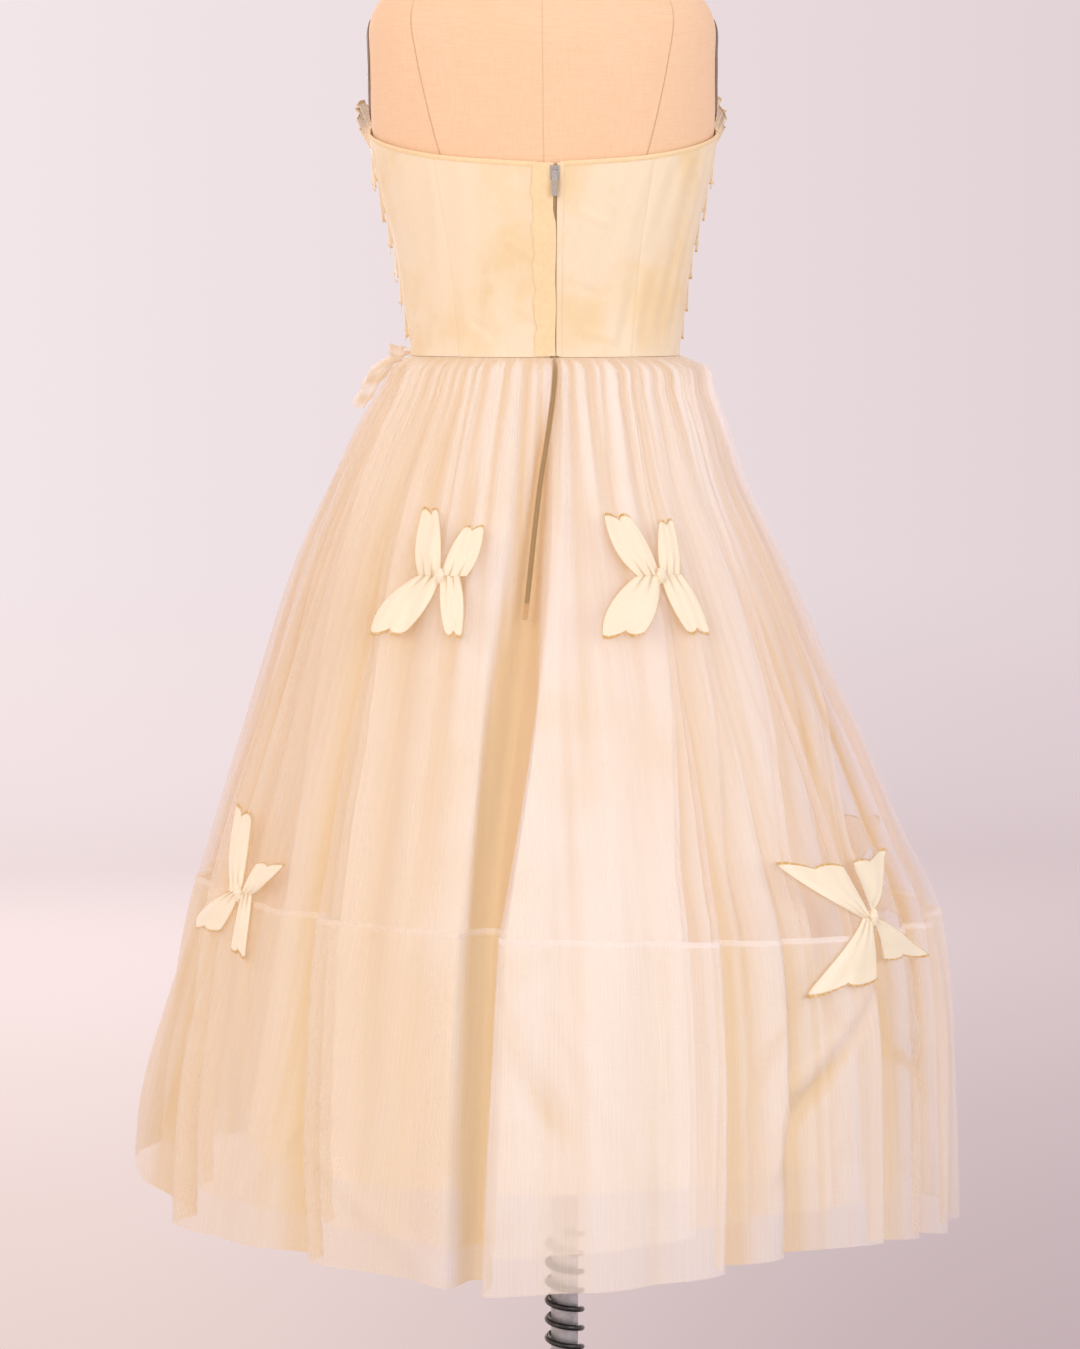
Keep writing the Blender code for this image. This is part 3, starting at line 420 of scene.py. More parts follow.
bm = bmesh.new()
bmesh.ops.create_circle(bm, cap_ends=True, segments=14, radius=SPRING_WIRE)
bmesh.ops.rotate(bm, verts=bm.verts, cent=(0, 0, 0), matrix=Matrix.Rotation(math.pi / 2, 3, "Y"))
bmesh.ops.translate(bm, verts=bm.verts, vec=(0, SPRING_RADIUS, COLLAR_TOP + SPRING_WIRE + 0.3 * MM))
steps = SPRING_TURNS * 40
bmesh.ops.spin(bm, geom=bm.verts[:] + bm.edges[:] + bm.faces[:], cent=(0, 0, 0), axis=(0, 0, -1),
               dvec=(0, 0, SPRING_TURNS * SPRING_PITCH / steps), angle=math.tau * SPRING_TURNS, steps=steps)
add("coil_spring", bm, enamel, "stand_black", ["stand_spring"])


# ---- Lining ----
# An opaque taffeta underskirt, narrower and shorter than the organza, hangs from the waist seam. Its slight
# flare and dull ivory show through every layer above it.

# Height, then the half sizes to the left, right, back and front
LINING = (
    (1.040, 0.130, 0.130, 0.0945, 0.0965),
    (0.950, 0.168, 0.158, 0.137, 0.136),
    (0.864, 0.190, 0.186, 0.168, 0.164),
    (0.780, 0.206, 0.206, 0.192, 0.184),
    (0.607, 0.232, 0.232, 0.226, 0.214),
    (0.345, 0.276, 0.276, 0.268, 0.256),
)
LINING_HEM = 0.345
LINING_WAVE = 7 * MM
# Each panel: name, first and last angle, and how many quarters it covers
QUARTERS = (("back_left", 0, 90, 1), ("back_right", -90, 0, 1), ("front", 90, 270, 2))

taffeta = Finish("ivory taffeta", Roughness=0.5, Sheen_Weight=0.15, Specular_IOR_Level=0.4)
ribs = taffeta.threads(taffeta.uv, 60, 2200, 1)
stain = taffeta.noise(5, 4, (1, 1, 0.6), 0.6)
taffeta.paint(Base_Color=taffeta.mix((246, 230, 204), (taffeta.ramp(stain, 0.42, 0.78), (242, 213, 167)),
                                     (taffeta.ramp(ribs, 0.3, 0.7) * 0.2, (236, 212, 178))),
              Normal=taffeta.bump(ribs, 0.0002, 0.3))


def waist_sizes(out):
    half, front, back = between(TORSO, WAIST)
    return (WAIST, half + out, half + out, back + out, front + out)


def cloth(name, columns, rows, thickness, place, finish, slot, stands_for=(), size=(1, 1), marks=None,
          span=(0, 1)):
    """A thin closed shell: a sheet put by place(u, v), with u over its span, and a second skin behind it."""
    u, v = np.meshgrid(np.linspace(0, 1, columns + 1), np.linspace(0, 1, rows + 1))
    u = span[0] + (span[1] - span[0]) * u
    face = place(u, v)
    normal = np.cross(np.gradient(face, axis=1), np.gradient(face, axis=0))
    normal /= np.linalg.norm(normal, axis=-1, keepdims=True) + 1e-12
    away = face - (TORSO_MIDDLE, 0, 0)
    away[..., 2] = 0
    normal *= np.sign((normal * away).sum())
    skins = np.stack((face - normal * thickness, face))
    bm = grid(columns, rows)
    cell = np.rint(second_skin(bm) * (columns, rows, 1)).astype(int)
    put(bm, skins[cell[:, 2], cell[:, 1], cell[:, 0]])
    piece = add(name, bm, finish, slot, stands_for, size=size)
    for mark, value in (marks(u, v) if marks else {}).items():
        layer = piece.data.attributes.new(mark, "FLOAT", "POINT")
        layer.data.foreach_set("value", value[cell[:, 1], cell[:, 0]].astype(np.float32))
    return piece


def lining_point(angle, height, out=0):
    sizes = between(LINING + (waist_sizes(1.9 * MM),), height)
    grown = np.minimum((WAIST - height) / 0.3, 1)
    wave = np.cos(np.radians(angle * 12 + 40 * np.sin(np.radians(3 * angle)))) - 1
    return stacked(oval(angle, *sizes, LINING_WAVE * grown * wave * 0.6 + out), height)


# How far below the waist the skirts' tops are set in
TUCK = 0.4 * MM
for name, start, end, count in QUARTERS:
    lining = cloth(f"taffeta_{name}", 60 * count, 70, 0.6 * MM,
                   lambda angle, v: lining_point(angle, WAIST - TUCK + (LINING_HEM - WAIST) * v),
                   taffeta, "lining_taffeta", [f"lining_{name}"], (0.44 * count, 0.72), span=(start, end))


# ---- Organza skirt ----
# Two layers of silk organza are gathered into the waist seam over the lining. The outer one hangs in long
# soft tubes; its lower part is a doubled band, set on with a seam, whose folds lap over each other.

BAND_SEAM, HEM, SEAM_TILT = 0.575, 0.290, 0.016
# Outline over the fold crests: height, then the half sizes to the left, right, back and front
SKIRT = (
    (1.054, 0.138, 0.146, 0.104, 0.106),
    (1.032, 0.150, 0.153, 0.117, 0.119),
    (1.003, 0.168, 0.165, 0.138, 0.138),
    (0.950, 0.196, 0.184, 0.169, 0.164),
    (0.896, 0.221, 0.211, 0.195, 0.188),
    (0.841, 0.241, 0.237, 0.220, 0.210),
    (0.786, 0.259, 0.261, 0.246, 0.234),
    (0.732, 0.277, 0.288, 0.271, 0.257),
    (0.678, 0.295, 0.312, 0.294, 0.279),
    (0.623, 0.312, 0.336, 0.314, 0.298),
    (0.568, 0.328, 0.362, 0.333, 0.316),
    (0.478, 0.351, 0.377, 0.353, 0.336),
    (0.387, 0.373, 0.381, 0.368, 0.351),
    (0.260, 0.390, 0.384, 0.382, 0.364),
)
SKIRT_TOP_OUT = 3.9 * MM
# How far the folds, the gathers and the centre-back trough stand in or out: height, then each depth
RELIEF = (
    (1.064, 0.000, 0.0000, 0.000),
    (1.054, 0.001, 0.0030, 0.001),
    (1.032, 0.003, 0.0050, 0.002),
    (1.000, 0.006, 0.0060, 0.003),
    (0.930, 0.010, 0.0055, 0.006),
    (0.830, 0.014, 0.0045, 0.012),
    (0.700, 0.018, 0.0030, 0.020),
    (0.575, 0.022, 0.0012, 0.028),
    (0.450, 0.024, 0.0004, 0.032),
    (0.260, 0.027, 0.0000, 0.034),
)
# Each fold: its angle at the waist, at the band's seam and at the hem, its half width, its height, how much
# of its left (+) or right (-) side is drawn into a steep lapped edge, and how square it is
FOLDS = (
    (86, 84, 78, 12, 0.88, 0.2, 0.8),
    (64, 64, 53.5, 16, 1.00, 0.66, 0.55),
    (50, 47, 42, 9, 0.80, 0, 0.9),
    (38, 35, 29, 10, 0.98, 0.72, 0.6),
    (25, 23.5, 21.5, 8, 0.80, 0, 0.9),
    (12.5, 15.5, 14.5, 8, 1.00, -0.58, 0.5),
    (-10, 4, 5, 11, 1.00, 0.74, 0.5),
    (-18, -9, -8, 12, 0.86, 0, 0.8),
    (-27, -21.5, -20.5, 11, 0.95, -0.7, 0.55),
    (-37, -32.5, -31, 7.5, 0.78, -0.45, 0.7),
    (-50, -47.5, -47.5, 12, 1.00, -0.62, 0.55),
    (-62, -61, -60, 8, 0.74, 0, 0.9),
    (-74, -72, -71, 11, 0.95, 0.4, 0.7),
    (-89, -88, -88, 10, 0.86, 0, 0.9),
    (99, 101, 102, 12, 0.84, 0.4, 0.7),
    (114, 116, 117, 10, 0.95, -0.6, 0.6),
    (128, 129, 131, 9, 0.72, 0, 0.9),
    (141, 142, 144, 12, 1.00, 0.7, 0.55),
    (155, 154, 154, 8, 0.80, 0, 0.9),
    (168, 169, 169, 11, 0.95, -0.65, 0.6),
    (180, 181.5, 183, 9, 0.78, 0, 0.8),
    (193, 195, 197, 12, 1.00, 0.68, 0.55),
    (205, 208, 209, 8, 0.74, 0, 0.9),
    (218, 221, 221, 11, 0.95, -0.65, 0.6),
    (232, 235, 236, 9, 0.80, 0.2, 0.8),
    (246, 248, 250, 10, 0.95, 0.6, 0.6),
    (258, 260, 261, 8, 0.76, 0, 0.9),
)
# How far a fold's lapped side is drawn over its neighbour, in half widths
LAP = 0.34
# The hem's line: angle, height
HEM_EDGE = ((-100, 0.274), (-90, 0.274), (-60, 0.290), (-40, 0.300), (-26, 0.296), (-10, 0.284), (8, 0.280),
            (22, 0.293), (38, 0.301), (56, 0.307), (72, 0.322), (90, 0.346), (128, 0.310), (180, 0.286),
            (230, 0.280), (270, 0.274))
# The centre-back seam's line, height and angle, which lies in a trough
BACK_SEAM = ((1.240, -3.4), (1.064, -3.7), (0.951, 1.5), (0.850, 4.2), (0.786, 5.8), (0.577, 9.5), (0.260, 9.2))
TROUGH_HALF = 5
# For widths round the band
BAND_RADIUS = 0.35
# Organza's thickness
SHEER = 0.4 * MM
# Listed creases: how far they stand out (+) or in, half width, then height and angle along them
CREASES = (
    (2.5, 0.014, ((0.570, 29.2), (0.480, 28.6), (0.400, 28.2))),
    (3, 0.012, ((0.423, 36), (0.370, 40.5), (0.319, 46.6))),
    (2.5, 0.013, ((0.399, 30.8), (0.326, 20.4), (0.290, 15.8))),
    (3.5, 0.015, ((0.545, -1), (0.432, -8.6), (0.347, -14.6))),
    (-3, 0.012, ((0.540, 4.5), (0.470, 1), (0.400, -5))),
    (-4, 0.013, ((0.545, -51), (0.489, -44.2), (0.397, -34), (0.335, -30.4))),
    (3, 0.012, ((0.530, -49), (0.470, -40.5), (0.400, -29.5))),
    (-3.5, 0.013, ((0.545, -53), (0.468, -56.2), (0.409, -70.6))),
    (2.5, 0.012, ((0.540, -55.5), (0.480, -61), (0.430, -72))),
    (-3, 0.012, ((0.560, 58), (0.470, 62), (0.390, 70))),
    (2.5, 0.014, ((0.560, 54), (0.470, 49), (0.380, 44))),
    (-3.5, 0.013, ((0.560, 124), (0.470, 131), (0.370, 141))),
    (3, 0.014, ((0.555, 128), (0.470, 138), (0.385, 150))),
    (-3, 0.012, ((0.560, 126), (0.480, 119), (0.390, 108))),
    (-3.5, 0.013, ((0.550, 235), (0.460, 228), (0.360, 217))),
    (2.5, 0.012, ((0.550, 239), (0.460, 247), (0.370, 257))),
    (3, 0.015, ((0.520, 186), (0.420, 178), (0.330, 171))),
)
rng = np.random.default_rng(7)


def scattered(count, jitter, drift, length, high, half):
    """Gathers round the waist: each one's angle, drift, length, height and half width, drawn within these."""
    return [(-180 + 360 / count * (number + rng.uniform(-jitter, jitter)), rng.uniform(-drift, drift),
             rng.uniform(*length), rng.uniform(*high), rng.uniform(*half)) for number in range(count)]


GATHERS = scattered(84, 0.6, 14, (0.08, 0.55), (0.3, 1.3), (0.8, 3))
PUCKERS = scattered(150, 0.3, 18, (0.018, 0.060), (0.2, 0.5), (0.8, 1.2))
# Height, turns round the garment, how fast it climbs, phase
RIPPLES = [(rng.uniform(0.25, 0.6) * MM, int(rng.integers(9, 46)), rng.uniform(4, 26), rng.uniform(0, 6.3))
           for number in range(14)]


def crest_angle(fold, height):
    waist, seam, hem = fold[:3]
    above = waist + (seam - waist) * (WAIST - height) / (WAIST - BAND_SEAM)
    below = seam + (hem - seam) * (BAND_SEAM - height) / (BAND_SEAM - HEM)
    return np.where(height > BAND_SEAM, above, below)


def folded(angle, height):
    """How high the cloth stands in its folds, from 0 to 1, and how far its lapped edges are drawn aside."""
    total, drawn = 0, 0
    grown = ease((WAIST - height) / 0.35)
    for fold in FOLDS:
        half, high, lap, square = fold[3:]
        offset = turn_between(angle, crest_angle(fold, height))
        steep = np.where(offset * np.sign(lap + 1e-9) > 0, 1 - abs(lap) * grown, 1 + 0.3 * abs(lap) * grown)
        rise = hump(offset, half * steep) ** square
        total = total + (high * rise) ** 8
        drawn = drawn + LAP * lap * half * grown * rise**1.5
    return np.minimum(total, 1.4) ** (1 / 8), drawn


def streaks(angle, height, gathers):
    """Fine gathers: each falls from the waist seam for its own length, drifting aside."""
    below = WAIST - height
    total = 0
    for start, drift, length, high, half in gathers:
        fade = ease(below / 0.012) * ease(1 - below / length)
        width = half * (1 + 1.1 * np.minimum(below / 0.5, 1))
        total = total + high * fade * hump(turn_between(angle, start + drift * below), width)
    return total


def beside(angle, height, radius, points):
    """How far places are from a broken line of heights and angles, and how far along it they lie, 0 to 1."""
    nearest, along = np.ones(np.shape(angle)), 0
    for number in range(1, len(points)):
        (top, first), (bottom, last) = points[number - 1], points[number]
        run, drop = np.radians(last - first) * radius, bottom - top
        across, down = np.radians(turn_between(angle, first)) * radius, height - top
        share = np.clip((across * run + down * drop) / (run**2 + drop**2), 0, 1)
        away = np.hypot(across - share * run, down - share * drop)
        along = np.where(away < nearest, (number - 1 + share) / (len(points) - 1), along)
        nearest = np.minimum(nearest, away)
    return nearest, along


def creased(angle, height):
    """The listed creases, as soft troughs and ridges."""
    total = 0
    for high, half, points in CREASES:
        away, along = beside(angle, height, BAND_RADIUS, points)
        faded = ease(4 * along + 0.3) * ease(4 * (1 - along))
        total = total + high * MM * hump(away, half * (0.7 + 0.6 * along)) * faded
    return total


def trough(angle, height, half_width):
    """1 along the centre-back seam, falling to 0 at the half width in degrees."""
    return hump(turn_between(angle, between(BACK_SEAM, height)[0]), half_width)


def skirt_sizes(height):
    return between(SKIRT + (waist_sizes(SKIRT_TOP_OUT),), height)


def rippled(angle, height, ripples):
    return sum(high * np.sin(np.radians(angle * turns) + climb * height + phase)
               for high, turns, climb, phase in ripples)


def hung(angle, height, gathers, fold_share, gather_share, level):
    """How far a gathered layer stands out of its outline, and how far it is drawn aside."""
    fold_depth, gather_depth, trough_depth = between(RELIEF, height)
    crest, drawn = folded(angle, height)
    out = fold_share * fold_depth * (crest - 1)
    out = out + gather_share * gather_depth * (streaks(angle, height, gathers) - level)
    return out - trough_depth * trough(angle, height, TROUGH_HALF), drawn


def skirt_relief(angle, height):
    """The outer layer's relief, which has puckers, ripples and the listed creases as well."""
    out, drawn = hung(angle, height, GATHERS, 1, 1, 0.7)
    fine = 1.5 * MM * streaks(angle, height, PUCKERS) + creased(angle, height)
    return out + fine + rippled(angle, height, RIPPLES) * ease((WAIST - height) / 0.15), drawn


def skirt_point(angle, height, out=0):
    relief, drawn = skirt_relief(angle, height)
    return stacked(oval(angle + drawn, *skirt_sizes(height), relief + out), height)


def seam_height(angle):
    return BAND_SEAM + SEAM_TILT * np.sin(np.radians(angle))


def hem_height(angle):
    return between(HEM_EDGE, (angle + 90) % 360 - 90)[0]


def organza(name, clear, deep, veil, veil_deep):
    """Sheer silk organza: pale and open on the ridges, closer in the valleys, where its colour is painted in
    warmer shade.
    """
    made = Finish(name, Roughness=0.55, Sheen_Weight=0.35, Sheen_Roughness=0.35, Specular_IOR_Level=0.3)
    slub, streak, weft = (made.threads(made.uv, *close, 1) for close in ((520, 16), (46, 1.6), (60, 1800)))
    valley, across = made.mark("valley"), made.axis(made.object, "X")
    # Painted shade: the colour darkens towards the deep tan where the valley mark is high, broken up by thread
    # streaks
    shade = made.ramp(valley + (streak - 0.5) * 0.7, 0.05, 1.05)
    # Painted shade: a tan that grows stronger towards the wearer's left (+X), broken up by noise
    left_side_shade = made.ramp(made.noise(7, 3) + across * 2, 0.4, 0.8) * 0.46
    open_weave = made.ramp(slub + weft * 0.5, 0.5, 1, -0.015, 0.025)
    closed = made.ramp(valley + (streak - 0.5) * 0.8, 0, 1, veil, veil_deep) + open_weave
    # The outer layer hangs clear of the others at the far right, and is thinner there
    single = made.ramp(across, -0.34, -0.27, 0.6, 1)
    made.paint(Base_Color=made.mix(clear, (shade, deep), (left_side_shade, (228, 196, 146))), Alpha=closed * single,
               Normal=made.bump(slub * 0.06 + streak * 1.6, 0.0008, 0.5))
    return made


outer_organza = organza("outer organza", (248, 237, 236), (226, 190, 140), 0.13, 0.34)
band_organza = organza("band organza", (246, 234, 224), (228, 198, 154), 0.32, 0.52)
under_organza = organza("under organza", (246, 236, 224), (222, 186, 136), 0.28, 0.56)


def valleys(top, bottom, power=1):
    """The marks of a panel between two heights: 1 between its folds and gathers, 0 on their ridges."""

    def marks(angle, v):
        height = top + (bottom - top) * v**power
        crest = folded(angle, height)[0]
        near = np.minimum((WAIST - height) / 0.45, 1)
        gathered = (0.75 - streaks(angle, height, GATHERS)) * (1 - near) * 0.9
        # The organza paints its shade by this mark: the centre-back seam's trough and the creases' dents are
        # painted darker too
        seam = 0.7 * trough(angle, height, 4) * ease((WAIST - height) / 0.15)
        dent = np.maximum(-creased(angle, height), 0) / (8 * MM)
        return {"valley": np.clip((1 - crest) * 1.1 * near + gathered + seam + dent, 0, 1)}

    return marks


def let_light_through(*pieces):
    """Real organza scatters light on to what is under it, so it casts no shadow of its own."""
    for piece in pieces:
        piece.visible_shadow = False
        piece.visible_diffuse = False


under_rng = np.random.default_rng(21)
UNDER_GATHERS = [(start + under_rng.uniform(-3, 3), drift, length, high, half)
                 for start, drift, length, high, half in GATHERS]
# The under layer's outline: height, then how far it stands inside the outer one, left, right, back and front
UNDER = (
    (1.060, 0.0015, 0.0015, 0.0015, 0.0015),
    (1.000, 0.006, 0.006, 0.005, 0.005),
    (0.900, 0.010, 0.010, 0.009, 0.009),
    (0.780, 0.010, 0.014, 0.012, 0.012),
    (0.680, 0.012, 0.040, 0.014, 0.014),
    (0.600, 0.014, 0.058, 0.016, 0.016),
    (0.480, 0.018, 0.060, 0.020, 0.020),
    (0.320, 0.022, 0.055, 0.026, 0.026),
)
UNDER_HEM = 0.028


def under_point(angle, height):
    sizes = [size - inset for size, inset in zip(skirt_sizes(height), between(UNDER, height))]
    out, drawn = hung(angle, height, UNDER_GATHERS, 0.85, 0.8, 1)
    return stacked(oval(angle + 0.9 * drawn, *sizes, out), height)


for name, start, end, count in QUARTERS:
    under = cloth(f"under_organza_{name}", 100 * count, 70, SHEER,
                  lambda angle, v: under_point(angle, WAIST - 1 * MM +
                                               (hem_height(angle) + UNDER_HEM - WAIST) * v),
                  under_organza, "skirt_organza", (), (1.1 * count, 0.77), valleys(WAIST, HEM), (start, end))
    let_light_through(under)

SEAM_LAP = 3 * MM
# The outer layer's rows lie closer near the waist
ROWS = 1.25


def outer_place(angle, v):
    return skirt_point(angle, WAIST - TUCK + (seam_height(angle) - SEAM_LAP - WAIST) * v**ROWS)


def band_place(angle, v):
    return skirt_point(angle, seam_height(angle) + (hem_height(angle) - seam_height(angle)) * v, 0.7 * MM)


def piping_place(angle, v):
    return skirt_point(angle, seam_height(angle) + (1.5 - 5 * v) * MM, 1.6 * MM)


for name, start, end, count in QUARTERS:
    span = (start, end)
    skirt = cloth(f"organza_{name}", 170 * count, 96, SHEER, outer_place, outer_organza, "skirt_organza",
                  [f"skirt_{name}"], (1.1 * count, 0.50), valleys(WAIST, BAND_SEAM, ROWS), span)
    let_light_through(skirt)

    band = cloth(f"hem_band_{name}", 170 * count, 48, 0.9 * MM, band_place, band_organza, "band_organza",
                 [f"band_{name}"], (1.1 * count, 0.29), valleys(BAND_SEAM, HEM), span)
    piping = cloth(f"band_seam_{name}", 170 * count, 3, 0.8 * MM, piping_place, band_organza, "band_organza",
                   (), (1.1 * count, 0.005), lambda angle, v: {"valley": 0 * v}, span)
    let_light_through(band, piping)


# ---- Bodice ----
# The boned bodice is cut in panels of ivory satin under organza, stained a little yellow with age. Its top
# edge is turned and bound, and a lapped placket covers the zip at the centre back.

BODICE_OUT = 3.2 * MM
TOP_EDGE = ((0, 1.2350), (40, 1.2430), (90, 1.2650), (135, 1.2860), (180, 1.2740))
BACK_OPENING = -3.7
# For widths round the bodice
BODICE_RADIUS = 0.12
ZIP_HALF = 1.75
# Each panel: name, first and last angle, columns
PANELS = (
    ("back_left", BACK_OPENING + ZIP_HALF, 40, 60),
    ("side_left", 40, 90, 50),
    ("front", 90, 270, 120),
    ("side_right", -90, -40, 50),
    ("back_right", -40, BACK_OPENING - ZIP_HALF, 50),
)
# Wrinkles that the satin keeps: how far out, half width, then height and angle along them
WRINKLES = (
    (0.9, 0.006, ((1.090, 1), (1.112, 12))),
    (-0.8, 0.006, ((1.080, 20), (1.100, 35))),
    (0.7, 0.007, ((1.150, 3), (1.170, 16))),
    (-0.7, 0.006, ((1.130, -8), (1.118, -24))),
    (0.8, 0.006, ((1.196, -9), (1.180, -26))),
    (0.8, 0.006, ((1.088, -14), (1.078, -34))),
    (0.9, 0.007, ((1.100, 60), (1.080, 88))),
    (-0.8, 0.006, ((1.095, -60), (1.085, -86))),
)

satin = Finish("ivory satin", Roughness=0.42, Sheen_Weight=0.3, Sheen_Roughness=0.4, Specular_IOR_Level=0.4)
age = satin.noise(13, 4, (1, 1, 0.8), 0.6)
spots = satin.noise(34, 3)
satin_threads = satin.threads(satin.uv, 1500, 80, 1)
satin.paint(Base_Color=satin.mix((249, 230, 198), (satin.ramp(age, 0.45, 0.72) * 0.8, (244, 214, 162)),
                                 (satin.ramp(spots, 0.6, 0.75) * 0.25, (232, 196, 142)),
                                 (satin.ramp(satin_threads, 0.3, 0.7) * 0.12, (226, 196, 158))),
            Normal=satin.bump(satin_threads + spots, 0.0003, 0.35))
trim = grained("yellowed satin edge", (260,), (244, 210, 156), (252, 228, 184), 0.0004, 0.5, Roughness=0.5,
               Sheen_Weight=0.2)


def top_edge(angle):
    return between(TOP_EDGE, np.abs(turn_between(angle, 0)))[0]


def bodice_point(angle, height, out=0):
    """A point of the satin over the form, with ripples and wrinkles that die out at its edges."""
    loose = 0.4 * rippled(angle, 3 * height, RIPPLES[:8])
    for high, half, points in WRINKLES:
        away, along = beside(angle, height, BODICE_RADIUS, points)
        loose = loose + high * MM * hump(away, half) * ease(4 * along + 0.1) * ease(4 * (1 - along) + 0.1)
    edges = ease(np.minimum(height - WAIST, top_edge(angle) - height) / 0.02)
    return torso_point(angle, height, BODICE_OUT + out + loose * edges)


def binding_place(angle, v):
    return bodice_point(angle, top_edge(angle) + (-3.5 + 4.5 * v) * MM, (0.3 + 0.5 * np.sin(np.pi * v)) * MM)


def length_of(points):
    return float(np.linalg.norm(np.diff(points, axis=0), axis=-1).sum())


for name, start, end, columns in PANELS:
    seam = 0.02 * (end - start)

    def place(angle, v):
        sunk = 0.5 * MM * (hump(angle - start, seam) + hump(angle - end, seam))
        return bodice_point(angle, WAIST + (top_edge(angle) - WAIST) * v, -sunk)

    across = np.linspace(start, end, 60)
    length = length_of(bodice_point(across, np.full(60, WAIST + 0.09)))
    tall = top_edge(across) - WAIST
    panel = cloth(f"satin_{name}", columns, 60, 1.2 * MM, place, satin, "bodice_satin", [f"bodice_{name}"],
                  (length, 0.2), span=(start, end))
    binding = cloth(f"top_binding_{name}", columns, 6, 1.4 * MM, binding_place, trim, "bodice_satin",
                    size=(length, 0.005), span=(start, end))


# ---- Zip ----
# A metal zip on cotton tape closes the back from the top edge to below the hips. The left side's placket
# laps over its teeth and is held by a line of stitches.

ZIP_TOP, ZIP_END = 1.2335, 0.838
# For widths across the back, at the teeth and at the placket
WAIST_RADIUS, FLAP_RADIUS = 0.125, 0.105
# Shares of the placket's height: where the slider ends, and how soon the flap laps over below it
SLIDER_END, LAP_RUN = 0.76, 0.08


def seam_point(height, aside, out):
    """A point beside the centre-back opening: aside in metres to the wearer's left, out from the cloth."""
    above, below = np.maximum(height, WAIST), np.minimum(height, WAIST)
    seam = np.where(height > WAIST, BACK_OPENING, between(BACK_SEAM, below)[0])
    high = torso_point(seam + np.degrees(aside / WAIST_RADIUS), above, BODICE_OUT + out)
    sizes, sunk = skirt_sizes(below), between(RELIEF, below)[2] + 2 * MM
    low = stacked(oval(seam + np.degrees(aside / sizes[0]), *sizes, out - sunk), below)
    return np.where((height > WAIST)[..., None], high, low)


tape_cotton = grained("zip tape cotton", (1, 2, (2200, 400, 900)), (182, 138, 92), (226, 186, 136),
                      0.0003, 0.5, Roughness=0.85, Sheen_Weight=0.2)
cloth("zip_cotton_tape", 4, 240, 0.8 * MM,
      lambda u, v: seam_point(ZIP_TOP + 0.001 + (ZIP_END - ZIP_TOP) * v, (u - 0.5) * 5 * MM, -0.8 * MM),
      tape_cotton, "zip_tape", ["zip_tape"], (0.005, 0.4))

silver = Finish("worn zip metal", Metallic=0.95)
scratch = silver.noise(700, 3)
silver.paint(Base_Color=silver.mix((176, 170, 158), (scratch, (214, 210, 202))),
             Roughness=silver.ramp(scratch, 0.2, 0.8, 0.22, 0.42), Normal=silver.bump(scratch, 0.0001, 0.3))

brass = Finish("tarnished zip teeth", Metallic=0.7, Roughness=0.45)
brass.paint(Base_Color=brass.mix((156, 126, 86), (brass.noise(900, 3), (212, 186, 140))))

TOOTH, PITCH = (2.2 * MM, 1 * MM, 0.9 * MM), 1.6 * MM
bm = bmesh.new()
heights = ZIP_TOP - 0.013 - PITCH * np.arange(int((ZIP_TOP - 0.014 - ZIP_END - 0.012) / PITCH))
for side in (-1, 1):
    for middle in seam_point(heights - side * PITCH / 4, side * 0.55 * MM + 0 * heights, 0 * heights):
        tooth = bmesh.ops.create_cube(bm, size=1)["verts"]
        bmesh.ops.scale(bm, vec=TOOTH, verts=tooth)
        bmesh.ops.translate(bm, vec=middle, verts=tooth)
add("zip_teeth", bm, brass, "zip_metal", smooth=False)


def flap_point(aside, v, out):
    """A point of the bodice beside the opening, aside and out in millimetres."""
    level = WAIST + 0.001 + (ZIP_TOP + 0.0015 - WAIST) * v
    return bodice_point(BACK_OPENING + np.degrees(aside * MM / FLAP_RADIUS), level, out * MM)


def placket_place(u, v):
    """From the free edge, which laps over the teeth below the slider, to the line of stitches."""
    lapped = ease((SLIDER_END - v) / LAP_RUN)
    free = 0.8 + (0.25 * np.sin(19 * v) - 1.9) * lapped
    stitched = 14.2 + 0.8 * np.sin(31 * v) + 0.5 * np.sin(67 * v + 1)
    puffed = 0.7 * np.sin(np.pi * u) ** 2 * (0.6 + 0.4 * np.sin(23 * v))
    return flap_point(free * (1 - u) + stitched * u, v, 0.9 + 0.8 * (1 - u) ** 3 + puffed)


placket = cloth("zip_placket", 10, 120, 0.6 * MM, placket_place, trim, "bodice_satin", size=(0.015, 0.17))
facing = cloth("zip_facing", 6, 120, 0.6 * MM,
               lambda u, v: flap_point(-1.6 - 4.2 * u, v, 0.6 + 0.6 * np.sin(np.pi * u)),
               satin, "bodice_satin", size=(0.005, 0.17))
for node in ("zip_slider", "zip_pull"):
    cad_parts[node].data.materials[0] = silver.owner


# ---- Frills ----
# Seven narrow organza ruffles are gathered onto the bodice front from side seam to side seam. The top one
# stands up over the edge, and the others fall over each other.

# Drop of the root below the top edge, height (up or down), flare, waves
FRILLS = (
    (0.016, 0.034, 0.0125, 40),
    (0.022, -0.030, 0.0060, 42),
    (0.050, -0.030, 0.0055, 38),
    (0.079, -0.029, 0.0050, 40),
    (0.107, -0.028, 0.0045, 37),
    (0.134, -0.027, 0.0040, 36),
    (0.160, -0.026, 0.0035, 34),
)
FRILL_START, FRILL_END = 91.5, 264

frill_organza = Finish("frill organza", Roughness=0.6, Sheen_Weight=0.4, Sheen_Roughness=0.35)
frill_slub = frill_organza.threads(frill_organza.uv, 900, 60, 1, detail=3)
frill_edge = frill_organza.ramp(frill_organza.mark("edge"), 0.90, 0.97)
frill_organza.paint(
    Base_Color=frill_organza.mix((255, 248, 234), (frill_slub, (248, 232, 204)), (frill_edge, (232, 198, 148))),
    Alpha=frill_organza.ramp(frill_slub + frill_edge, 0.2, 1, 0.62, 0.95),
    Normal=frill_organza.bump(frill_slub, 0.0003, 0.5))

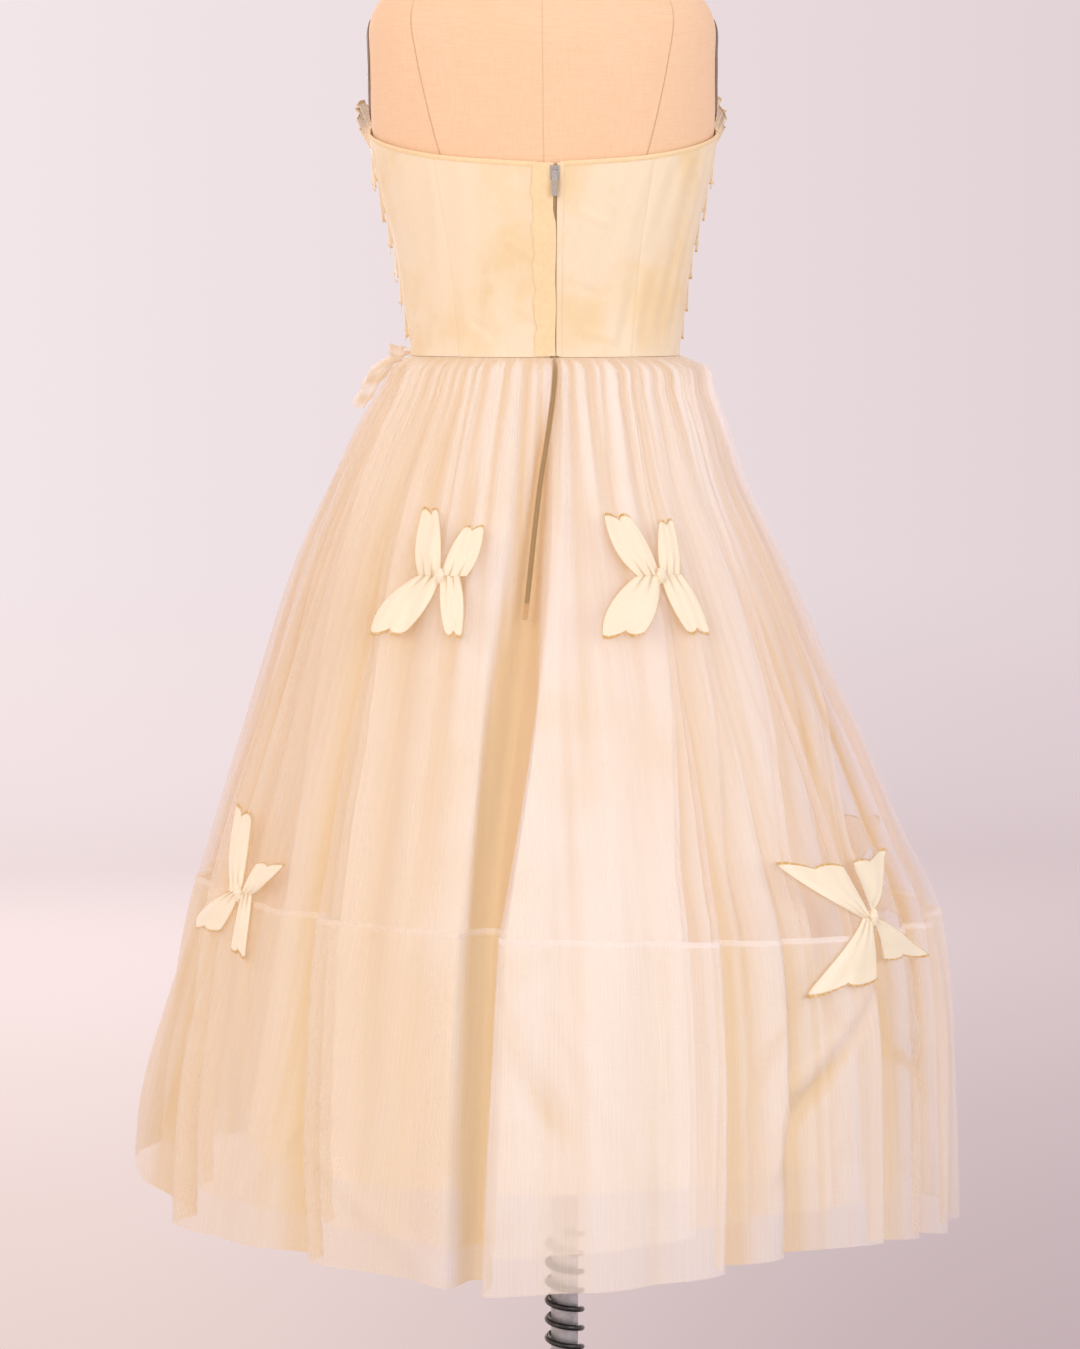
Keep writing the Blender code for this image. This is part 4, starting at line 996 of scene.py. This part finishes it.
for number, (drop, height, flare, waves) in enumerate(FRILLS):
    bends = [(rng.uniform(0.3, 1), int(rng.integers(3, 9)), rng.uniform(0, 6.3)) for bend in range(4)]

    def place(u, v):
        wander = sum(high * np.sin(math.tau * turns * u + phase) for high, turns, phase in bends)
        phase = math.tau * waves * u + wander
        crimp = np.sin(phase) + 0.45 * np.sin(2 * phase + 1.3 * wander)
        angle = FRILL_START + (FRILL_END - FRILL_START) * u
        front = hump(turn_between(angle, 180), 85)
        tacked = 0.5 + 0.5 * ease(np.minimum(u, 1 - u) / 0.08)
        short = tacked if height > 0 else 1
        depth = (2.2 + 1.4 * front) * tacked * MM * v**0.8
        lean = (flare + 2 * MM * front) * tacked * v
        ragged = 0.09 * np.sin(phase * 0.5 + 2) + 0.07 * wander
        level = top_edge(angle) - drop + height * short * v * (1 + ragged)
        out = BODICE_OUT + 1 * MM + lean + depth * (1 + crimp) * 0.8
        return torso_point(angle + 0.7 * v * np.cos(phase), level, out)

    frill = cloth(f"ruffle_{number}", waves * 9, 9, 0.3 * MM, place, frill_organza, "frill_organza",
                  [f"frill_{number}"], (0.7, 0.03), marks=lambda u, v: {"edge": v})
    let_light_through(frill)
    cut_length = length_of(place(np.linspace(0, 1, 900), np.ones(900)))


# ---- Waist bow ----
# A puffed bow of crushed organza is tacked to the waist seam at the wearer's left front. Each of its two loops
# is a doubled strip, pleated lengthwise.

# The bow's place, slant and clearance, then each loop's reach, rise and half widths
LOOPS = {"angle": 108, "height": 1.060, "slant": 0.22, "clearance": 1.8 * MM, "start": 0.010, "length": 0.058,
         "rise": 0.024, "part": 0.16, "fall": 0.8, "narrow": 0.009, "wide": 0.028}
LOOP_PLEATS = 3.3

puff_organza = organza("puff organza", (252, 240, 230), (232, 206, 178), 0.42, 0.62)


def turn_radius(angle, height):
    """How far a radian's turn carries a point along the skirt."""
    left, right, back, front = (float(size[0]) for size in skirt_sizes(np.full(1, height)))
    sine, cosine = math.sin(math.radians(angle)), math.cos(math.radians(angle))
    return math.hypot((left if sine > 0 else right) * cosine, (back if cosine > 0 else front) * sine)


for name, side in (("back", -1), ("front", 1)):

    def place(u, v):
        """u runs from the knot out along the loop and back over itself, v across the strip."""
        reach = LOOPS["start"] + LOOPS["length"] * np.sin(np.pi * u)
        share = reach / LOOPS["length"]
        grown = np.minimum(share, 1)
        fall = LOOPS["part"] * u + LOOPS["fall"] * np.sin(np.pi * u / 2) ** 2 * share
        pleat = 1.6 * np.sin(math.tau * LOOP_PLEATS * v + 3 * u) + 0.8 * np.sin(math.tau * 7.4 * v + 9 * u)
        lift = LOOPS["clearance"] + LOOPS["rise"] * fall + (1.5 + pleat * (1 - 0.7 * grown)) * MM
        half = LOOPS["narrow"] + (LOOPS["wide"] - LOOPS["narrow"]) * grown
        angle = LOOPS["angle"] + np.degrees(side * reach / turn_radius(LOOPS["angle"], LOOPS["height"]))
        height = LOOPS["height"] - LOOPS["slant"] * reach + (2 * v - 1) * half
        return stacked(oval(angle, *skirt_sizes(np.minimum(height, WAIST)), lift), height)

    # The valley mark follows the pleats, so the organza paints shade between them
    loop = cloth(f"waist_bow_{name}", 48, 72, 0.3 * MM, place, puff_organza, "waist_bow_organza",
                 [f"waist_loop_{name}"], (0.13, 0.05),
                 lambda u, v: {"valley": 0.5 - 0.5 * np.sin(math.tau * LOOP_PLEATS * v + 3 * u)})
    let_light_through(loop)


# ---- Bows ----
# Eight four-winged bows of cream satin are tacked to the skirt by their pleated centres. Each wing's end is
# cut in scallops, and its edge is bound with yellow stitching.

# Name, angle, height, how full the wings' sides are, then each wing's tip as across (to the wearer's left) and
# up, from the upper left round
BOWS = (
    ("hip_back_left", 23.5, 0.876, 1, ((0.034, 0.056), (-0.034, 0.042), (-0.024, -0.050), (0.058, -0.050))),
    ("hip_back_right", -27.2, 0.876, 0.9, ((0.045, 0.052), (-0.028, 0.046), (-0.036, -0.050), (0.058, -0.050))),
    ("low_back_left", 57.8, 0.595, 0.3, ((0.048, 0.072), (-0.058, 0.030), (-0.030, -0.052), (0.078, -0.038))),
    ("low_back_right", -52.4, 0.578, 0, ((0.090, 0.052), (-0.082, 0.050), (-0.090, -0.044), (0.086, -0.060))),
    ("hip_front_left", 153, 0.876, 0.9, ((0.034, 0.052), (-0.036, 0.044), (-0.030, -0.050), (0.054, -0.048))),
    ("hip_front_right", 207, 0.876, 0.8, ((0.036, 0.046), (-0.034, 0.052), (-0.052, -0.050), (0.030, -0.050))),
    ("low_front_left", 125, 0.590, 0.1, ((0.080, 0.052), (-0.084, 0.048), (-0.082, -0.046), (0.086, -0.056))),
    ("low_front_right", 235, 0.580, 0.2, ((0.086, 0.050), (-0.080, 0.054), (-0.086, -0.052), (0.080, -0.048))),
)
# Scallops in each wing's end, then its half width at the knot in metres and the most as a share of its tip's
SCALLOPS, ROOT, FULLER_ROOT, WIDEST_ROOT = 2, 0.013, 0.011, 0.72
# The knot's half sizes
KNOT = (0.0060, 0.0085, 0.0036)

bow_satin = Finish("cream bow satin", Roughness=0.36, Sheen_Weight=0.25, Sheen_Roughness=0.4,
                   Specular_IOR_Level=0.45)
bow_threads = bow_satin.threads(bow_satin.uv, 1400, 90, 1)
bow_end = bow_satin.ramp(bow_satin.mark("end"), 0.955, 0.975)
bow_side = bow_satin.ramp(bow_satin.mark("side"), 0.955, 0.985)
stitches = bow_satin.ramp(bow_satin.noise(420, 1), 0.3, 0.6, 0.55, 1)
# The pleat mark paints shade into the pleats near each knot
bow_satin.paint(Base_Color=bow_satin.mix((253, 243, 220), (bow_threads, (246, 230, 196)),
                                         (bow_side * 0.6, (214, 180, 130)),
                                         (bow_end * stitches, (214, 168, 92)),
                                         (bow_satin.mark("pleat") * 0.75, (198, 158, 104))),
                Normal=bow_satin.bump(bow_threads + bow_end * 2, 0.0004, 0.4))


# The outer organza's highest level over each place, so that the bows bridge its folds
FIELD_TURN, FIELD_COLUMNS = 0.5, 720
FIELD_RISE, FIELD_BOTTOM, FIELD_ROWS = 4 * MM, 0.45, 130
turns, levels = np.meshgrid(np.arange(0, 360, 0.2), FIELD_BOTTOM + FIELD_RISE * np.arange(FIELD_ROWS))
relief, drawn = skirt_relief(turns, levels)
columns = np.rint((turns + drawn) / FIELD_TURN).astype(int) % FIELD_COLUMNS
rows = np.broadcast_to(np.arange(FIELD_ROWS)[:, None], columns.shape)
highest = np.full((FIELD_ROWS, FIELD_COLUMNS), -0.05)
np.maximum.at(highest, (rows, columns), relief)


def rolled_about(field, by):
    """The field moved by this many places each way, round the garment and then up it."""
    return [np.roll(field, turned, axis=axis) for axis in (1, 0) for turned in (by, -by)]


for spread in (1, 1, 2, 2):
    highest = np.maximum.reduce([highest] + rolled_about(highest, spread))
for smooth in range(6):
    highest = (2 * highest + sum(rolled_about(highest, 1))) / 6


def over_skirt(angle, height):
    """The field's level at a place, between its four nearest columns and rows."""
    column = (angle % 360) / FIELD_TURN
    row = np.clip((height - FIELD_BOTTOM) / FIELD_RISE, 0, FIELD_ROWS - 1.001)
    left, low = np.floor(column).astype(int), np.floor(row).astype(int)
    aside, up = column - left, row - low
    left, right = left % FIELD_COLUMNS, (left + 1) % FIELD_COLUMNS
    lower, upper = (highest[at, left] * (1 - aside) + highest[at, right] * aside for at in (low, low + 1))
    return lower * (1 - up) + upper * up


def bow_place(angle, height, across, up, out):
    """A point of a bow: across and up from its centre in metres, out from the cloth under it."""
    turned_to, level = angle + np.degrees(across / turn_radius(angle, height)), height + up
    return stacked(oval(turned_to, *skirt_sizes(level), over_skirt(turned_to, level) + out), level)


for name, angle, height, full, tips in BOWS:
    for number, (tip_across, tip_up) in enumerate(tips):
        twist = rng.uniform(0, 6.3)

        def place(u, v):
            """u runs from the wing's outer side to its inner one, v from the centre to the scalloped end."""
            start, middle, end = (1 - v) ** 2, 2 * v * (1 - v), v**2
            root = min((ROOT + FULLER_ROOT * full) / abs(tip_across), WIDEST_ROOT)
            outer = np.stack((root * start + (0.60 + 0.48 * full) * middle + end, 0.46 * middle + end))
            inner = np.stack((0.08 * middle + (0.12 + 0.33 * full) * end,
                              0.56 * middle + (0.86 + 0.12 * full) * end))
            share = outer + (inner - outer) * u
            scallop = np.abs(np.sin(np.pi * SCALLOPS * u)) ** 0.7
            stretch = 1 + (0.09 * scallop - 0.06 * np.sin(np.pi * u)) * v**6
            pleats = np.sin(math.tau * 3 * u + twist) * np.exp(-3.5 * v)
            flutter = np.sin(math.tau * 2.6 * u + twist) * v**3
            puff = 1.6 * np.sin(np.pi * u) * np.sin(np.pi * np.minimum(v * 1.3, 1))
            out = (2 + 1.2 * pleats + 0.5 * flutter + puff) * MM
            return bow_place(angle, height, share[0] * tip_across * stretch, share[1] * tip_up * stretch, out)

        cloth(f"bow_{name}_wing_{number}", 24, 26, 0.5 * MM, place, bow_satin, "bow_satin",
                           [f"bow_{name}"] if number == 0 else (), (0.03, 0.06),
                           lambda u, v: {"end": v, "side": np.abs(2 * u - 1),
                                         "pleat": hump((3 * u + 0.5) % 1 - 0.5, 0.2) * ease(1 - 3 * v)})
    middle, outside = bow_place(angle, height, np.zeros(2), np.zeros(2), np.array((4.2 * MM, 0.05)))
    facing_out = Vector(outside - middle).to_track_quat("Z", "Y").to_matrix().to_4x4()
    bm = bmesh.new()
    bm.loops.layers.uv.new("cut")
    bmesh.ops.create_uvsphere(bm, u_segments=36, v_segments=18, radius=1, calc_uvs=True)
    for vert in bm.verts:
        x, y, z = vert.co
        pinch = 1 - 0.126 * abs(y) ** 0.5 + 0.10 * math.sin(9 * math.atan2(y, x)) * math.hypot(x, y)
        vert.co = (x * pinch * 0.75, y * pinch, z * pinch)
    bmesh.ops.scale(bm, vec=KNOT, verts=bm.verts)
    bmesh.ops.transform(bm, matrix=Matrix.Translation(middle) @ facing_out, verts=bm.verts)
    knot = add(f"bow_{name}_centre", bm, bow_satin, "bow_satin", [f"knot_{name}"], size=(0.02, 0.02))
    width, length = abs(tips[0][0]), abs(tips[0][1])


# ---- Studio ----
# A pale sweep of floor and background. The floor glows in the backdrop's colours, with painted shade in a
# soft pool towards one side. Two large soft lights stand on the camera's side and one on the other.

sweep = Finish("studio sweep", Roughness=0.9, Emission_Strength=0.72)
reach = sweep.node("ShaderNodeVectorMath", (sweep.object,), output=1, operation="LENGTH")
aside = sweep.axis(sweep.object, "X") / (reach + 4.3)
# Painted shadow: a soft pool darkens the floor's glow towards the wearer's right (-X)
shade = sweep.ramp(aside, -0.12, 0.12, 1, 0) * sweep.ramp(aside, -0.40, -0.15)
sweep_color = sweep.mix(sweep.mix((222, 203, 198), (shade, (184, 166, 170))),
                        (sweep.ramp(reach, 0, 7), sweep.mix((243, 229, 230), (shade, (220, 205, 208)))))
sweep.paint(Base_Color=sweep.mix(sweep_color, (0.72, (0, 0, 0))), Emission_Color=sweep_color,
            Alpha=sweep.ramp(reach, 5, 13.5, 1, 0))

bm = bmesh.new()
bmesh.ops.create_circle(bm, cap_ends=True, segments=96, radius=14)
floor_mesh = bpy.data.meshes.new("studio_floor")
bm.to_mesh(floor_mesh)
bm.free()
floor_mesh.materials.append(sweep.owner)
linked("studio_floor", floor_mesh)

world = bpy.data.worlds.new("studio")
bpy.context.scene.world = world
sky = Finish("studio", world, "Background", Strength=1)
across = sky.ramp(sky.axis(sky.generated, "X"), -0.16, 0.14, kind="LINEAR")
sky.paint(Color=sky.mix((223, 208, 211), (across, (245, 232, 234))))

AIM = Vector((0, 0, 0.8))
# Name, place, size, power, colour
LIGHTS = (
    ("key", (2.6, 3.6, 2.6), 2.2, 46, (1, 0.98, 0.86)),
    ("fill", (-3, 3, 1.8), 2.6, 54, (0.84, 0.96, 1)),
    ("front_fill", (0.5, -3.6, 2.4), 3, 64, (1, 0.98, 0.96)),
)
for name, place, size, power, color in LIGHTS:
    data = bpy.data.lights.new(name, "AREA")
    data.size, data.energy, data.color = size, power, color
    light = linked(name, data)
    light.location = place
    light.rotation_euler = (AIM - Vector(place)).to_track_quat("-Z", "Y").to_euler()

lens = bpy.data.cameras.new("camera")
lens.lens, lens.sensor_width, lens.clip_end = 126.2, 36, 60
camera = linked("camera", lens)
camera.location = (0.0227, 4.3, 1.153)
camera.rotation_euler = (math.radians(90 - 5.05), 0, math.pi)
bpy.context.scene.camera = camera
bpy.context.scene.view_settings.view_transform = "Standard"
bpy.context.scene.cycles.transparent_max_bounces = 20
